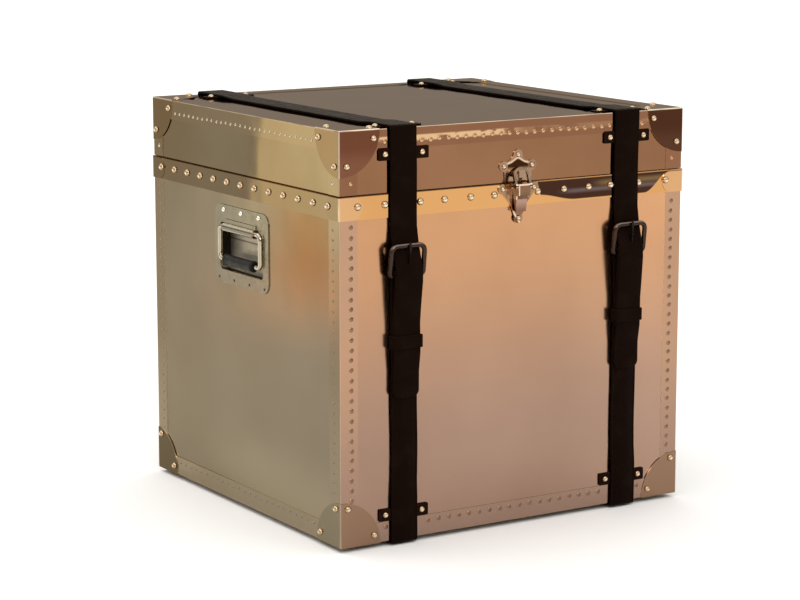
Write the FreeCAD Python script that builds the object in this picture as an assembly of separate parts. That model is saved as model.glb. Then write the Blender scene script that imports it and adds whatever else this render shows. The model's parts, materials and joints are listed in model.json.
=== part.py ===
# Metal-clad storage chest: a plywood box in sheet metal with a hinged lid, two buckled
# leather straps, a draw latch and a recessed handle on each side.
# Millimetres. The origin lies on the floor under the middle of the box.
# +Z is up and the front looks to -Y.
import FreeCAD, Part
import math
import os

from FreeCAD import Placement, Rotation, Vector

# Box, measured over the metal skins
chest_width = 548.0
chest_depth = 520.0
base_height = 460.0
lid_height = 82.0
seam_gap = 1.0
ply_thickness = 9.0
skin_thickness = 1.0
foot_height = 8.0
foot_radius = 14.0
foot_inset = 58.0
foot_chamfer = 2.0

# Edge trims, corner caps and the band round the rim
trim_leg = 26.0
trim_thickness = 1.0
trim_round = 0.9
cap_reach = 60.0
cap_thickness = 1.0
cap_round = 1.9
band_height = 31.0
band_thickness = 1.6
wrap_reach = 35.0
wrap_thickness = 1.0
wrap_round = 0.8

# Rear hinges
hinge_width = 64.0
hinge_inset = 87.0
hinge_leaf_height = 30.0
hinge_leaf_thickness = 1.5
hinge_barrel_radius = 4.4
hinge_pin_radius = 2.0
hinge_axis_stand = 7.0
hinge_knuckle_gap = 0.4
hinge_pin_head = 1.2
knuckle_count = 3

# Straps
strap_width = 40.0
strap_thickness = 3.2
strap_inset = 95.0
strap_seat = 2.4
strap_bend = 2.8
leather_gap = 0.3
billet_drop = 269.0
tab_height = 16.5
tab_width = 76.0
tab_corner = 1.5
lid_tab_drop = 32.0
foot_tab_rise = 35.0
front_tab_inset = 23.0
rear_tab_inset = 48.0
keeper_drop = 194.7
keeper_height = 17.0
keeper_thickness = 2.2
keeper_back = 1.0

# Buckles
rod_radius = 3.3
buckle_width = 57.0
buckle_corner = 4.9
buckle_top_corner = 9.0
heel_drop = 107.0
bar_rise = 39.0
bar_stand = 13.6
chape_length = 103.0
chape_ease = 8.0
chape_slope = 56.0
billet_slope = 24.0
prong_radius = 1.6
prong_ring = 2.2
prong_width = 5.0
prong_slot = 6.4
prong_knee_rise = 15.0
prong_knee_stand = 16.4
prong_tip = 5.0
billet_hole_drop = 4.0
billet_hole_rise = 21.0

# Recessed side handles
handle_plate_width = 151.0
handle_plate_height = 109.0
handle_plate_corner = 16.0
handle_plate_thickness = 1.5
handle_drop = 100.5
pan_width = 125.0
pan_height = 69.0
pan_corner = 9.0
pan_depth = 16.5
pan_wall = 1.5
pan_drop = 3.0
window_gap = 0.5
tube_radius = 6.0
tube_length = 86.0
tube_stand = 3.2
tube_drop = 7.0
web_height = 11.0
bail_radius = 3.5
bail_gap = 0.3
bail_span = 114.0
bail_drop = 44.5
bail_corner = 7.0
bail_stub = 20.0
grip_length = 80.0
grip_radius = 7.2
grip_collar_radius = 7.8
grip_collar = 6.0
grip_chamfer = 1.5

# Draw latch
plate_thickness = 1.5
lobe_radius = 7.0
lid_plate_foot = 1.5
lid_plate_half = 21.0
lid_lobe_rise = 43.4
lid_side_lobe = 22.5
lid_side_rise = 21.5
lid_scoop_radius = 10.0
lid_scoop_out = 17.0
lid_scoop_rise = 38.5
base_plate_drop = 4.0
base_lobe_half = 25.0
base_lobe_drop = 7.4
base_tail_drop = 47.0
base_tail_half = 5.0
base_waist_half = 12.0
base_waist_drop = 29.0
lever_half = 9.0
lever_drop = 3.0
lever_barrel = 4.0
latch_pin_radius = 1.8
pin_gap = 0.1
link_throw = 7.0
link_gap = 0.3
link_inner = 9.3
link_outer = 13.0
link_thickness = 3.6
link_eye = 3.2
link_rise = 22.0
link_lean = 8.1
ear_gap = 0.4
ear_thickness = 3.0
ear_radius = 4.4
lever_reach = 10.0
lever_arm_half = 3.0
lever_nose_drop = 12.5
lever_step = 6.0
lever_step_fall = 1.5
lever_tail_drop = 35.0
lever_tail_stand = 3.4
lever_tail_thickness = 3.0
lever_tip_half = 7.6
catch_radius = 8.5
catch_lip_radius = 10.8
catch_lip_half = 5.0
catch_lip_thickness = 2.0
catch_lip_gap = 1.9

overrun = 2.0
shortest_run = 0.001
parallel_share = 0.001

half_width = chest_width / 2
half_depth = chest_depth / 2
rim_level = foot_height + base_height
lid_bottom = rim_level + seam_gap
lid_top = lid_bottom + lid_height
wall_thickness = skin_thickness + ply_thickness
strap_offset = half_width - strap_inset
hinge_offset = strap_offset - hinge_inset
handle_level = rim_level - handle_drop
heel_level = rim_level - heel_drop
keeper_level = rim_level - keeper_drop
billet_tip = rim_level - billet_drop

AXIS_X = Vector(1, 0, 0)
AXIS_Y = Vector(0, 1, 0)
AXIS_Z = Vector(0, 0, 1)
HERE = Vector(0, 0, 0)
WALL_ANGLES = {"front": 0, "left": -90, "back": 180, "right": 90}


def slab(x_span, y_span, z_span):
    """A block between two levels on each axis."""
    spans = (x_span, y_span, z_span)
    low = Vector(*(span[0] for span in spans))
    return Part.makeBox(*(span[1] - span[0] for span in spans), low)


def centred(length):
    """The span of a length centred on zero."""
    return (-length / 2, length / 2)


def placed(shape, place):
    """A copy of a shape, turned and carried by a placement."""
    copy = shape.copy()
    copy.Placement = place.multiply(copy.Placement)
    return copy


def on_wall(shape, wall):
    """Carries a piece made on a wall at Y zero, with -Y outwards, to one of the four walls."""
    reach = half_depth if wall in ("front", "back") else half_width
    turn = Placement(HERE, Rotation(AXIS_Z, WALL_ANGLES[wall]))
    return placed(shape, turn.multiply(Placement(AXIS_Y * -reach, Rotation())))


def moved(shape, x=0, y=0, z=0):
    """A copy of a shape, carried by the given distances."""
    return shape.translated(Vector(x, y, z))


def mirrored(shape, axis):
    """A copy of a shape, mirrored through the plane across an axis."""
    return shape.mirror(HERE, axis)


def both_sides(shape):
    """A shape and its mirror image across the middle of the chest."""
    return [shape, mirrored(shape, AXIS_X)]


def four_corners(shape):
    """A shape at one corner and its images at the other three."""
    pair = both_sides(shape)
    return pair + [mirrored(one, AXIS_Y) for one in pair]


def edges_along(shape, axis, test):
    """The straight edges along an axis whose middle passes a test."""
    found = []
    for edge in shape.Edges:
        run = edge.Vertexes[-1].Point - edge.Vertexes[0].Point
        along = run.cross(axis).Length < parallel_share * run.Length
        if along and test(edge.CenterOfMass):
            found.append(edge)
    return found


def bent_runs(corners):
    """Straight runs and tangent arcs through corners of (u, v, radius), as (start, end, centre, turn)."""
    points = [Vector(u, v, 0) for u, v, _ in corners]
    runs, start = [], points[0]
    for before, here, after, corner in zip(points, points[1:], points[2:], corners[1:]):
        into = (here - before).normalize()
        out = (after - here).normalize()
        turn = into.cross(out).z
        reach = corner[2] * math.tan(into.getAngle(out) / 2)
        arc_start, arc_end = here - into * reach, here + out * reach
        side = math.copysign(1, turn)
        centre = arc_start + Vector(-into.y, into.x, 0) * side * corner[2]
        runs += [(start, arc_start, None, 0), (arc_start, arc_end, centre, side)]
        start = arc_end
    return runs + [(start, points[-1], None, 0)]


def run_edges(runs, shift):
    """The edges of a bent path, shifted to its left."""
    edges = []
    for start, end, centre, side in runs:
        if centre is None and start.isEqual(end, shortest_run):
            continue
        if centre is None:
            along = (end - start).normalize()
            step = Vector(-along.y, along.x, 0) * shift
            edges.append(Part.LineSegment(start + step, end + step).toShape())
        else:
            radius = (start - centre).Length
            share = (radius - side * shift) / radius
            first, last = (start - centre) * share, (end - centre) * share
            middle = (first + last).normalize() * first.Length
            edges.append(Part.Arc(centre + first, centre + middle, centre + last).toShape())
    return edges


def ribbon(corners, thickness, width):
    """A strip of leather bent along a path in the XY plane, its width centred across Z."""
    runs = bent_runs(corners)
    left = run_edges(runs, thickness / 2)
    right = run_edges(runs, -thickness / 2)
    ends = [
        Part.makeLine(left[0].Vertexes[0].Point, right[0].Vertexes[0].Point),
        Part.makeLine(left[-1].Vertexes[-1].Point, right[-1].Vertexes[-1].Point),
    ]
    outline = Part.Wire(Part.__sortEdges__(left + right + ends))
    return moved(Part.Face(outline).extrude(AXIS_Z * width), z=-width / 2)


def rod(corners, radius):
    """A round rod bent along an open path in the XY plane."""
    path = Part.Wire(run_edges(bent_runs(corners), 0))
    start = path.Vertexes[0].Point
    along = Vector(corners[1][0], corners[1][1], 0) - start
    section = Part.Wire(Part.makeCircle(radius, start, along))
    return path.makePipeShell([section], True, False)


def upright(shape):
    """Stands a shape drawn in XY as (outwards, up) in the YZ plane of the front wall."""
    side = Placement(HERE, Rotation(Vector(0, -1, 0), AXIS_Z, Vector(-1, 0, 0), "XYZ"))
    return placed(shape, side)


def bar_along_x(radius, span, stand, level):
    """A round bar along X, standing off the wall."""
    return Part.makeCylinder(radius, span[1] - span[0], Vector(span[0], -stand, level), AXIS_X)


def disc_on_wall(radius, thickness, x, level, stand=0):
    """A disc that lies on the wall, from a stand-off outwards."""
    return Part.makeCylinder(radius, thickness, Vector(x, -stand, level), Vector(0, -1, 0))


def outline_on_wall(points, thickness, stand=0):
    """A flat plate on the wall from its (x, level) outline."""
    corners = [Vector(x, -stand, level) for x, level in points]
    return Part.Face(Part.makePolygon(corners + corners[:1])).extrude(AXIS_Y * -thickness)


def profile_along_x(points, span):
    """A solid of constant section along X, from its (outwards, level) outline."""
    corners = [Vector(span[0], -stand, level) for stand, level in points]
    return Part.Face(Part.makePolygon(corners + corners[:1])).extrude(AXIS_X * (span[1] - span[0]))


def rounded_plate(width, height, corner, thickness, level, stand):
    """A plate on the wall with rounded corners, from a stand-off outwards."""
    block = slab(centred(width), (-stand - thickness, -stand), (level - height / 2, level + height / 2))
    return block.makeFillet(corner, edges_along(block, AXIS_Y, lambda middle: True))


def handle_window():
    """The hole through a side wall that takes a handle's pan."""
    gap = 2 * window_gap
    depth = wall_thickness + 2 * overrun
    corner = pan_corner + window_gap
    level = handle_level - pan_drop
    return rounded_plate(pan_width + gap, pan_height + gap, corner, depth, level, overrun - depth)


def base_panels():
    """Plywood walls and floor of the base."""
    rise = (foot_height, rim_level)
    across = half_width - skin_thickness
    deep = half_depth - skin_thickness
    front = slab((-across, across), (-deep, -deep + ply_thickness), rise)
    side = slab((-across, -across + ply_thickness), (-deep + ply_thickness, deep - ply_thickness), rise)
    left = side.cut(on_wall(handle_window(), "left"))
    floor = slab(
        centred(chest_width - 2 * wall_thickness),
        centred(chest_depth - 2 * wall_thickness),
        (foot_height, foot_height + ply_thickness),
    )
    return {
        "base_front_panel": front,
        "base_back_panel": mirrored(front, AXIS_Y),
        "base_left_panel": left,
        "base_right_panel": mirrored(left, AXIS_X),
        "base_floor_panel": floor,
    }


def lid_panels():
    """Plywood walls and top of the lid."""
    under = lid_top - wall_thickness
    rise = (lid_bottom, under)
    across = half_width - skin_thickness
    deep = half_depth - skin_thickness
    front = slab((-across, across), (-deep, -deep + ply_thickness), rise)
    left = slab((-across, -across + ply_thickness), (-deep + ply_thickness, deep - ply_thickness), rise)
    return {
        "lid_top_panel": slab((-across, across), (-deep, deep), (under, under + ply_thickness)),
        "lid_front_panel": front,
        "lid_back_panel": mirrored(front, AXIS_Y),
        "lid_left_panel": left,
        "lid_right_panel": mirrored(left, AXIS_X),
    }


def wall_skins(name, rise):
    """Sheet metal on the four walls between two levels."""
    front = slab(centred(chest_width), (0, skin_thickness), rise)
    side = slab(centred(chest_depth - 2 * skin_thickness), (0, skin_thickness), rise)
    pieces = {name + "_front_skin": on_wall(front, "front"), name + "_back_skin": on_wall(front, "back")}
    for wall in ("left", "right"):
        pieces[name + "_" + wall + "_skin"] = on_wall(side, wall)
    return pieces


def skins():
    """Sheet metal of base and lid, with the handle windows cut."""
    pieces = wall_skins("base", (foot_height, rim_level))
    for wall in ("left", "right"):
        name = "base_" + wall + "_skin"
        pieces[name] = pieces[name].cut(on_wall(handle_window(), wall))
    pieces.update(wall_skins("lid", (lid_bottom, lid_top - skin_thickness)))
    top = (lid_top - skin_thickness, lid_top)
    pieces["lid_top_skin"] = slab(centred(chest_width), centred(chest_depth), top)
    return pieces


def edge_trim(upright_length, flat_length):
    """An angle strip along a lower edge of the front wall, with its corner at Y and Z zero."""
    leg = slab(centred(upright_length), (-trim_thickness, 0), (-trim_thickness, trim_leg))
    flat = slab(centred(flat_length), (0, trim_leg), (-trim_thickness, 0))
    whole = leg.fuse(flat).removeSplitter()
    edge_half = -trim_thickness / 2
    outer = edges_along(whole, AXIS_X, lambda at: at.y < edge_half and at.z < edge_half)
    return whole.makeFillet(trim_round, outer)


def edge_trims():
    """The four angle strips round one horizontal edge of the box, corner at Z zero."""
    long_trim = edge_trim(chest_width + 2 * trim_thickness, chest_width)
    short_trim = edge_trim(chest_depth, chest_depth - 2 * trim_leg)
    pieces = [on_wall(long_trim, wall) for wall in ("front", "back")]
    return pieces + [on_wall(short_trim, wall) for wall in ("left", "right")]


def corner_trims(low, high):
    """The four upright angle strips of base or lid."""
    x, y = -half_width, -half_depth
    front = slab((x - trim_thickness, x + trim_leg), (y - trim_thickness, y), (low, high))
    side = slab((x - trim_thickness, x), (y, y + trim_leg), (low, high))
    angle = front.fuse(side).removeSplitter()
    side_half, front_half = x - trim_thickness / 2, y - trim_thickness / 2
    outer = edges_along(angle, AXIS_Z, lambda at: at.x < side_half and at.y < front_half)
    return four_corners(angle.makeFillet(trim_round, outer))


def corner_cap():
    """A pressed cap with three quarter-round faces, for a corner at zero that looks to -X, -Y and -Z."""
    size = cap_reach + cap_thickness
    low = Vector(-cap_thickness, -cap_thickness, -cap_thickness)
    block = Part.makeBox(size, size, size, low)
    meeting = [edge for edge in block.Edges if edge.BoundBox.isInside(low)]
    block = block.makeFillet(cap_round, meeting)
    hollow = Part.makeBox(size, size, size)
    return block.cut(hollow).common(Part.makeSphere(cap_reach))


def corner_caps(level, upside):
    """Four caps round the bottom of the base, or round the top of the lid."""
    cap = mirrored(corner_cap(), AXIS_Z) if upside else corner_cap()
    return four_corners(moved(cap, -half_width - trim_thickness, -half_depth - trim_thickness, level))


def rim_bands():
    """Flat bands round the top of the base."""
    rise = (rim_level - band_height, rim_level)
    long_band = slab(centred(chest_width + 2 * band_thickness), (-band_thickness, 0), rise)
    short_band = slab(centred(chest_depth), (-band_thickness, 0), rise)
    pieces = [on_wall(long_band, wall) for wall in ("front", "back")]
    return pieces + [on_wall(short_band, wall) for wall in ("left", "right")]


def wrap_leg(start, end):
    """A round-ended tab on the band, from a corner at one X towards another."""
    radius = band_height / 2
    middle = rim_level - radius
    way = math.copysign(1, end - start)
    tip = end - way * radius
    stands = (-band_thickness - wrap_thickness, -band_thickness)
    straight = slab(sorted((start, tip)), stands, (rim_level - band_height, rim_level))
    rounded = disc_on_wall(radius, wrap_thickness, tip, middle, band_thickness)
    return straight.fuse(rounded).removeSplitter()


def corner_wraps():
    """Bent tabs that hold the bands together round the four upright corners."""
    stand = band_thickness + wrap_thickness
    front_corner, side_corner = -half_width - stand, half_depth + band_thickness
    front = on_wall(wrap_leg(front_corner, front_corner + wrap_reach), "front")
    side = on_wall(wrap_leg(side_corner, side_corner + wrap_thickness - wrap_reach), "left")
    whole = front.fuse(side).removeSplitter()
    half_stand = band_thickness + wrap_thickness / 2
    side_half, front_half = -half_width - half_stand, -half_depth - half_stand
    outer = edges_along(whole, AXIS_Z, lambda at: at.x < side_half and at.y < front_half)
    return four_corners(whole.makeFillet(wrap_round, outer))


def foot_pads():
    """Four round pads under the floor."""
    pad = Part.makeCylinder(foot_radius, foot_height)
    rim = [edge for edge in pad.Edges if edge.Closed and edge.CenterOfMass.z < foot_chamfer]
    pad = pad.makeChamfer(foot_chamfer, rim)
    return four_corners(moved(pad, -half_width + foot_inset, -half_depth + foot_inset))


hinge_level = lid_bottom - seam_gap / 2
knuckle_width = (hinge_width - (knuckle_count - 1) * hinge_knuckle_gap) / knuckle_count


def knuckle(span):
    """One knuckle of a hinge barrel on the rear wall, and its bore."""
    tube = bar_along_x(hinge_barrel_radius, span, hinge_axis_stand, hinge_level)
    return tube, bar_along_x(hinge_pin_radius + pin_gap, span, hinge_axis_stand, hinge_level)


def hinge_leaf(spans, seat, way):
    """A leaf on the wall with knuckles over the given spans, up (1) or down (-1) from the axis."""
    near = hinge_level + way * hinge_barrel_radius
    neck = near + way * hinge_leaf_thickness
    far = hinge_level + way * hinge_leaf_height
    leaf = profile_along_x(
        [
            (seat, far),
            (seat + hinge_leaf_thickness, far),
            (seat + hinge_leaf_thickness, neck),
            (hinge_axis_stand, near),
            (hinge_axis_stand, near - way * hinge_leaf_thickness),
            (seat, neck),
        ],
        centred(hinge_width),
    )
    keep = [slab(span, (-chest_depth, chest_depth), (0, 2 * lid_top)) for span in spans]
    plate = slab(centred(hinge_width), (-seat - hinge_leaf_thickness, -seat), sorted((neck, far)))
    whole = leaf.common(Part.makeCompound(keep)).fuse(plate)
    for span in spans:
        tube, bore = knuckle(span)
        whole = whole.fuse(tube).cut(bore)
    return whole.removeSplitter()


def hinges():
    """Two butt hinges on the rear wall: base leaves, lid leaves and pins."""
    end = hinge_width / 2
    outer = [(-end, -end + knuckle_width), (end - knuckle_width, end)]
    base_leaf = hinge_leaf(outer, band_thickness, -1)
    lid_leaf = hinge_leaf([centred(knuckle_width)], 0, 1)
    pin_span = centred(hinge_width + 2 * hinge_pin_head)
    pin = bar_along_x(hinge_pin_radius, pin_span, hinge_axis_stand, hinge_level)
    groups = {"hinge_base_leaves": base_leaf, "hinge_lid_leaves": lid_leaf, "hinge_pins": pin}
    return {
        name: [on_wall(moved(piece, x), "back") for x in (-hinge_offset, hinge_offset)]
        for name, piece in groups.items()
    }


def handle_pan():
    """A pressed plate with a deep pan and a rolled tube over the pan's top edge for the bail."""
    level = handle_level - pan_drop
    plate = rounded_plate(handle_plate_width, handle_plate_height, handle_plate_corner,
                          handle_plate_thickness, handle_level, 0)
    shell = rounded_plate(pan_width, pan_height, pan_corner, pan_depth, level, -pan_depth)
    inner = (pan_width - 2 * pan_wall, pan_height - 2 * pan_wall, pan_corner - pan_wall)
    hollow = rounded_plate(*inner, pan_depth + handle_plate_thickness, level, -pan_depth + pan_wall)
    top = level + pan_height / 2
    tube = bar_along_x(tube_radius, centred(tube_length), tube_stand, top - tube_drop)
    web_rise = (top - tube_drop, top - tube_drop + web_height)
    web = slab(centred(tube_length), (-tube_stand, 0), web_rise)
    bore_span = centred(tube_length + 2 * overrun)
    bore = bar_along_x(bail_radius + bail_gap, bore_span, tube_stand, top - tube_drop)
    return plate.fuse(shell).cut(hollow).fuse(tube).fuse(web).cut(bore).removeSplitter()


bail_level = handle_level - pan_drop + pan_height / 2 - tube_drop


def bail():
    """The bent wire that hangs in the tube and carries the grip."""
    half = bail_span / 2
    stub = tube_length / 2 - bail_stub
    path = [
        (-stub, 0, 0),
        (-half, 0, bail_corner),
        (-half, -bail_drop, bail_corner),
        (half, -bail_drop, bail_corner),
        (half, 0, bail_corner),
        (stub, 0, 0),
    ]
    wire = rod(path, bail_radius)
    wire.rotate(HERE, AXIS_X, 90)
    return moved(wire, y=-tube_stand, z=bail_level)


def grip():
    """A moulded grip with a collar at each end, bored for the bail."""
    half = grip_length / 2
    neck = half - grip_collar
    barrel = bar_along_x(grip_radius, centred(2 * neck), 0, 0)
    collar = bar_along_x(grip_collar_radius, (neck, half), 0, 0)
    collar = collar.makeChamfer(grip_chamfer, [edge for edge in collar.Edges if edge.Closed])
    bore = bar_along_x(bail_radius + bail_gap, centred(grip_length + 2 * overrun), 0, 0)
    whole = barrel.multiFuse(both_sides(collar)).cut(bore).removeSplitter()
    return moved(whole, y=-tube_stand, z=bail_level - bail_drop)


def handles():
    """The recessed handle of each side wall."""
    pieces = {}
    for wall in ("left", "right"):
        pieces[wall + "_handle_pan"] = on_wall(handle_pan(), wall)
        pieces[wall + "_handle_bail"] = on_wall(bail(), wall)
        pieces[wall + "_handle_grip"] = on_wall(grip(), wall)
    return pieces


base_plate_face = band_thickness + plate_thickness
lever_stand = base_plate_face + link_gap + lever_barrel
lever_level = rim_level - lever_drop
link_stand = lever_stand + link_throw
link_length = math.hypot(link_rise, link_lean)
link_angle = math.degrees(math.atan2(link_lean, link_rise))
arch_middle = link_length - (link_inner + link_outer) / 2
catch_level = lever_level + link_rise - (link_inner + link_outer) / 2
catch_stand = link_stand - link_lean + link_thickness / 2 + catch_lip_gap


def latch_lid_plate():
    """The three-lobed plate on the lid, with the hooded catch that the link pulls down on."""
    low = lid_bottom + lid_plate_foot
    side_level = lid_bottom + lid_side_rise
    peak = lid_bottom + lid_lobe_rise - lobe_radius
    body = outline_on_wall(
        [
            (-lid_plate_half, low),
            (lid_plate_half, low),
            (lid_side_lobe, side_level),
            (lobe_radius, peak),
            (-lobe_radius, peak),
            (-lid_side_lobe, side_level),
        ],
        plate_thickness,
    )
    places = [(-lid_side_lobe, side_level), (lid_side_lobe, side_level), (0, peak)]
    lobes = [disc_on_wall(lobe_radius, plate_thickness, x, level) for x, level in places]
    depth = plate_thickness + 2 * overrun
    scoop = disc_on_wall(lid_scoop_radius, depth, lid_scoop_out, lid_bottom + lid_scoop_rise, -overrun)
    plate = body.multiFuse(lobes).cut(Part.makeCompound(both_sides(scoop)))
    above = slab(centred(chest_width), (-chest_depth, 0), (catch_level, lid_top))
    hood = disc_on_wall(catch_radius, catch_stand, 0, catch_level)
    lip = disc_on_wall(catch_lip_radius, catch_lip_thickness, 0, catch_level, catch_stand)
    lip = lip.common(slab(centred(2 * catch_lip_half), (-chest_depth, 0), (catch_level, lid_top)))
    return plate.fuse(hood.common(above)).fuse(lip).removeSplitter()


def latch_base_plate():
    """The plate on the rim band with a pointed tail and two ears for the lever's pin."""
    low = rim_level - base_tail_drop
    top = rim_level - base_plate_drop
    side = rim_level - base_lobe_drop
    waist = rim_level - base_waist_drop
    body = outline_on_wall(
        [
            (-base_lobe_half, top),
            (base_lobe_half, top),
            (base_lobe_half, side - lobe_radius),
            (base_waist_half, waist),
            (base_tail_half, low),
            (-base_tail_half, low),
            (-base_waist_half, waist),
            (-base_lobe_half, side - lobe_radius),
        ],
        plate_thickness,
        band_thickness,
    )
    places = [(-base_lobe_half, side), (base_lobe_half, side), (0, low)]
    lobes = [disc_on_wall(lobe_radius, plate_thickness, x, level, band_thickness) for x, level in places]
    inner = link_outer + ear_gap
    outer = inner + ear_thickness
    stands = (-lever_stand, -band_thickness)
    foot = slab((inner, outer), stands, (lever_level - ear_radius, lever_level + ear_radius))
    ear = foot.fuse(bar_along_x(ear_radius, (inner, outer), lever_stand, lever_level))
    bore = bar_along_x(latch_pin_radius + pin_gap, centred(2 * outer + overrun), lever_stand, lever_level)
    return body.multiFuse(lobes + both_sides(ear)).cut(bore).removeSplitter()


def latch_lever():
    """The lever that hangs from the pin: a blunt nose with the link's pin across it, and a thinner tongue."""
    nose = lever_stand + lever_reach
    nose_low = lever_level - lever_nose_drop
    tail = lever_level - lever_tail_drop
    tail_stand = base_plate_face + lever_tail_stand
    side = profile_along_x(
        [
            (lever_stand, lever_level + lever_arm_half),
            (nose, lever_level + lever_arm_half),
            (nose, nose_low),
            (nose - lever_step, nose_low - lever_step_fall),
            (tail_stand + lever_tail_thickness, tail),
            (tail_stand, tail),
            (lever_stand - lever_barrel, lever_level - 2 * lever_arm_half),
            (lever_stand - lever_barrel, lever_level),
        ],
        centred(2 * lever_half),
    )
    front = outline_on_wall(
        [
            (-lever_half, lever_level + lever_barrel),
            (lever_half, lever_level + lever_barrel),
            (lever_half, lever_level - lever_tail_drop / 2),
            (lever_tip_half, tail),
            (-lever_tip_half, tail),
            (-lever_half, lever_level - lever_tail_drop / 2),
        ],
        2 * nose,
    )
    span = centred(2 * lever_half)
    body = side.common(front).fuse(bar_along_x(lever_barrel, span, lever_stand, lever_level))
    for stand in (lever_stand, link_stand):
        body = body.cut(bar_along_x(latch_pin_radius + pin_gap, centred(chest_width), stand, lever_level))
    return body.removeSplitter()


def latch_link():
    """The arched link: two legs with eyes and a crown that hooks over the catch, leaning to the lid."""
    below = slab(centred(chest_width), (-chest_depth, chest_depth), (-chest_depth, arch_middle))
    ring = disc_on_wall(link_outer, link_thickness, 0, arch_middle).cut(below)
    leg_spans = [(-link_outer, -link_inner), (link_inner, link_outer)]
    legs = [slab(span, (-link_thickness, 0), (0, arch_middle)) for span in leg_spans]
    eyes = [bar_along_x(link_eye, span, link_thickness / 2, 0) for span in leg_spans]
    hole = disc_on_wall(link_inner, link_thickness + 2 * overrun, 0, arch_middle, -overrun)
    bore = bar_along_x(latch_pin_radius + pin_gap, centred(chest_width), link_thickness / 2, 0)
    whole = ring.multiFuse(legs).cut(hole).multiFuse(eyes).cut(bore).removeSplitter()
    whole = moved(whole, y=link_thickness / 2)
    whole.rotate(HERE, AXIS_X, -link_angle)
    return moved(whole, y=-link_stand, z=lever_level)


def latch():
    """All pieces of the draw latch on the front wall."""
    ear_span = centred(2 * (link_outer + ear_gap + ear_thickness))
    pieces = {
        "latch_lid_plate": latch_lid_plate(),
        "latch_base_plate": latch_base_plate(),
        "latch_lever": latch_lever(),
        "latch_link": latch_link(),
        "latch_pivot_pin": bar_along_x(latch_pin_radius, ear_span, lever_stand, lever_level),
        "latch_link_pin": bar_along_x(latch_pin_radius, centred(2 * link_outer), link_stand, lever_level),
    }
    return {name: on_wall(piece, "front") for name, piece in pieces.items()}


strap_middle = strap_seat + strap_thickness / 2
heel_turn = rod_radius + leather_gap + strap_thickness / 2
heel_stand = strap_middle + heel_turn
chape_front = heel_stand + heel_turn
layer = strap_thickness + leather_gap
fold_end = heel_level - chape_length
fold_rest = strap_middle + layer
billet_over_chape = chape_front + layer
billet_over_fold = fold_rest + layer
bar_level = heel_level + bar_rise
billet_behind_bar = bar_stand - rod_radius - 2 * leather_gap - strap_thickness / 2


def lid_strap():
    """The strap over the lid, from the seam in front to the seam at the back."""
    over = lid_top + strap_middle
    rear = -chest_depth - strap_middle
    path = [
        (strap_middle, lid_bottom, 0),
        (strap_middle, over, strap_bend),
        (rear, over, strap_bend),
        (rear, lid_bottom, 0),
    ]
    return upright(ribbon(path, strap_thickness, strap_width))


def base_strap():
    """The strap from the rear seam under the base and up the front, folded round the buckle's heel bar."""
    under = foot_height - strap_middle
    rear = -chest_depth - strap_middle
    crown = heel_level + heel_turn
    path = [
        (rear, rim_level, 0),
        (rear, under, strap_bend),
        (strap_middle, under, strap_bend),
        (strap_middle, crown, heel_turn),
        (chape_front, crown, heel_turn),
        (chape_front, heel_level - chape_ease, chape_ease),
        (fold_rest, heel_level - chape_ease - chape_slope, chape_ease),
        (fold_rest, fold_end, 0),
    ]
    strap = upright(ribbon(path, strap_thickness, strap_width))
    slot_rise = (heel_level - chape_ease, crown + strap_thickness)
    return strap.cut(slab(centred(prong_slot), (-chape_front - strap_thickness, 0), slot_rise))


def billet():
    """The free end of the lid's strap: behind the buckle's bar, over its heel and through the keeper."""
    slope_end = heel_level - chape_ease - chape_slope
    path = [
        (strap_middle, rim_level, 0),
        (strap_middle, bar_level + billet_slope, 2 * chape_ease),
        (billet_behind_bar, bar_level, chape_ease),
        (billet_over_chape, heel_level + heel_turn, chape_ease),
        (billet_over_chape, heel_level - chape_ease, chape_ease),
        (billet_over_fold, slope_end, chape_ease),
        (billet_over_fold, fold_end, chape_ease),
        (fold_rest, fold_end - billet_slope, chape_ease),
        (fold_rest, billet_tip, 0),
    ]
    strap = upright(ribbon(path, strap_thickness, strap_width))
    hole = slab(
        centred(prong_slot),
        (-chest_depth, 0),
        (heel_level - billet_hole_drop, heel_level + billet_hole_rise),
    )
    return strap.cut(hole)


def buckle_frame():
    """A round-rod frame, closed at the heel bar and leaning out to its top bar."""
    half = buckle_width / 2 - rod_radius
    lean = math.atan2(bar_stand - heel_stand, bar_rise)
    rise = math.hypot(bar_stand - heel_stand, bar_rise)
    path = [
        (0, 0, 0),
        (half, 0, buckle_corner),
        (half, rise, buckle_top_corner),
        (-half, rise, buckle_top_corner),
        (-half, 0, buckle_corner),
        (0, 0, 0),
    ]
    frame = rod(path, rod_radius)
    frame.rotate(HERE, AXIS_X, 90)
    frame.rotate(HERE, AXIS_X, math.degrees(lean))
    return moved(frame, y=-heel_stand, z=heel_level)


def buckle_prong():
    """A prong that turns on the heel bar and rests on the top bar."""
    tip_stand = bar_stand + rod_radius + leather_gap + prong_radius
    path = [
        (heel_stand, heel_level, 0),
        (prong_knee_stand, heel_level + prong_knee_rise, chape_ease),
        (tip_stand, bar_level, chape_ease),
        (tip_stand, bar_level + prong_tip, 0),
    ]
    shank = upright(rod(path, prong_radius))
    outer = rod_radius + leather_gap + prong_ring
    width = centred(prong_width)
    ring = bar_along_x(outer, width, heel_stand, heel_level)
    bore = bar_along_x(rod_radius + leather_gap, centred(strap_width), heel_stand, heel_level)
    return shank.fuse(ring).cut(bore).removeSplitter()


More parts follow.
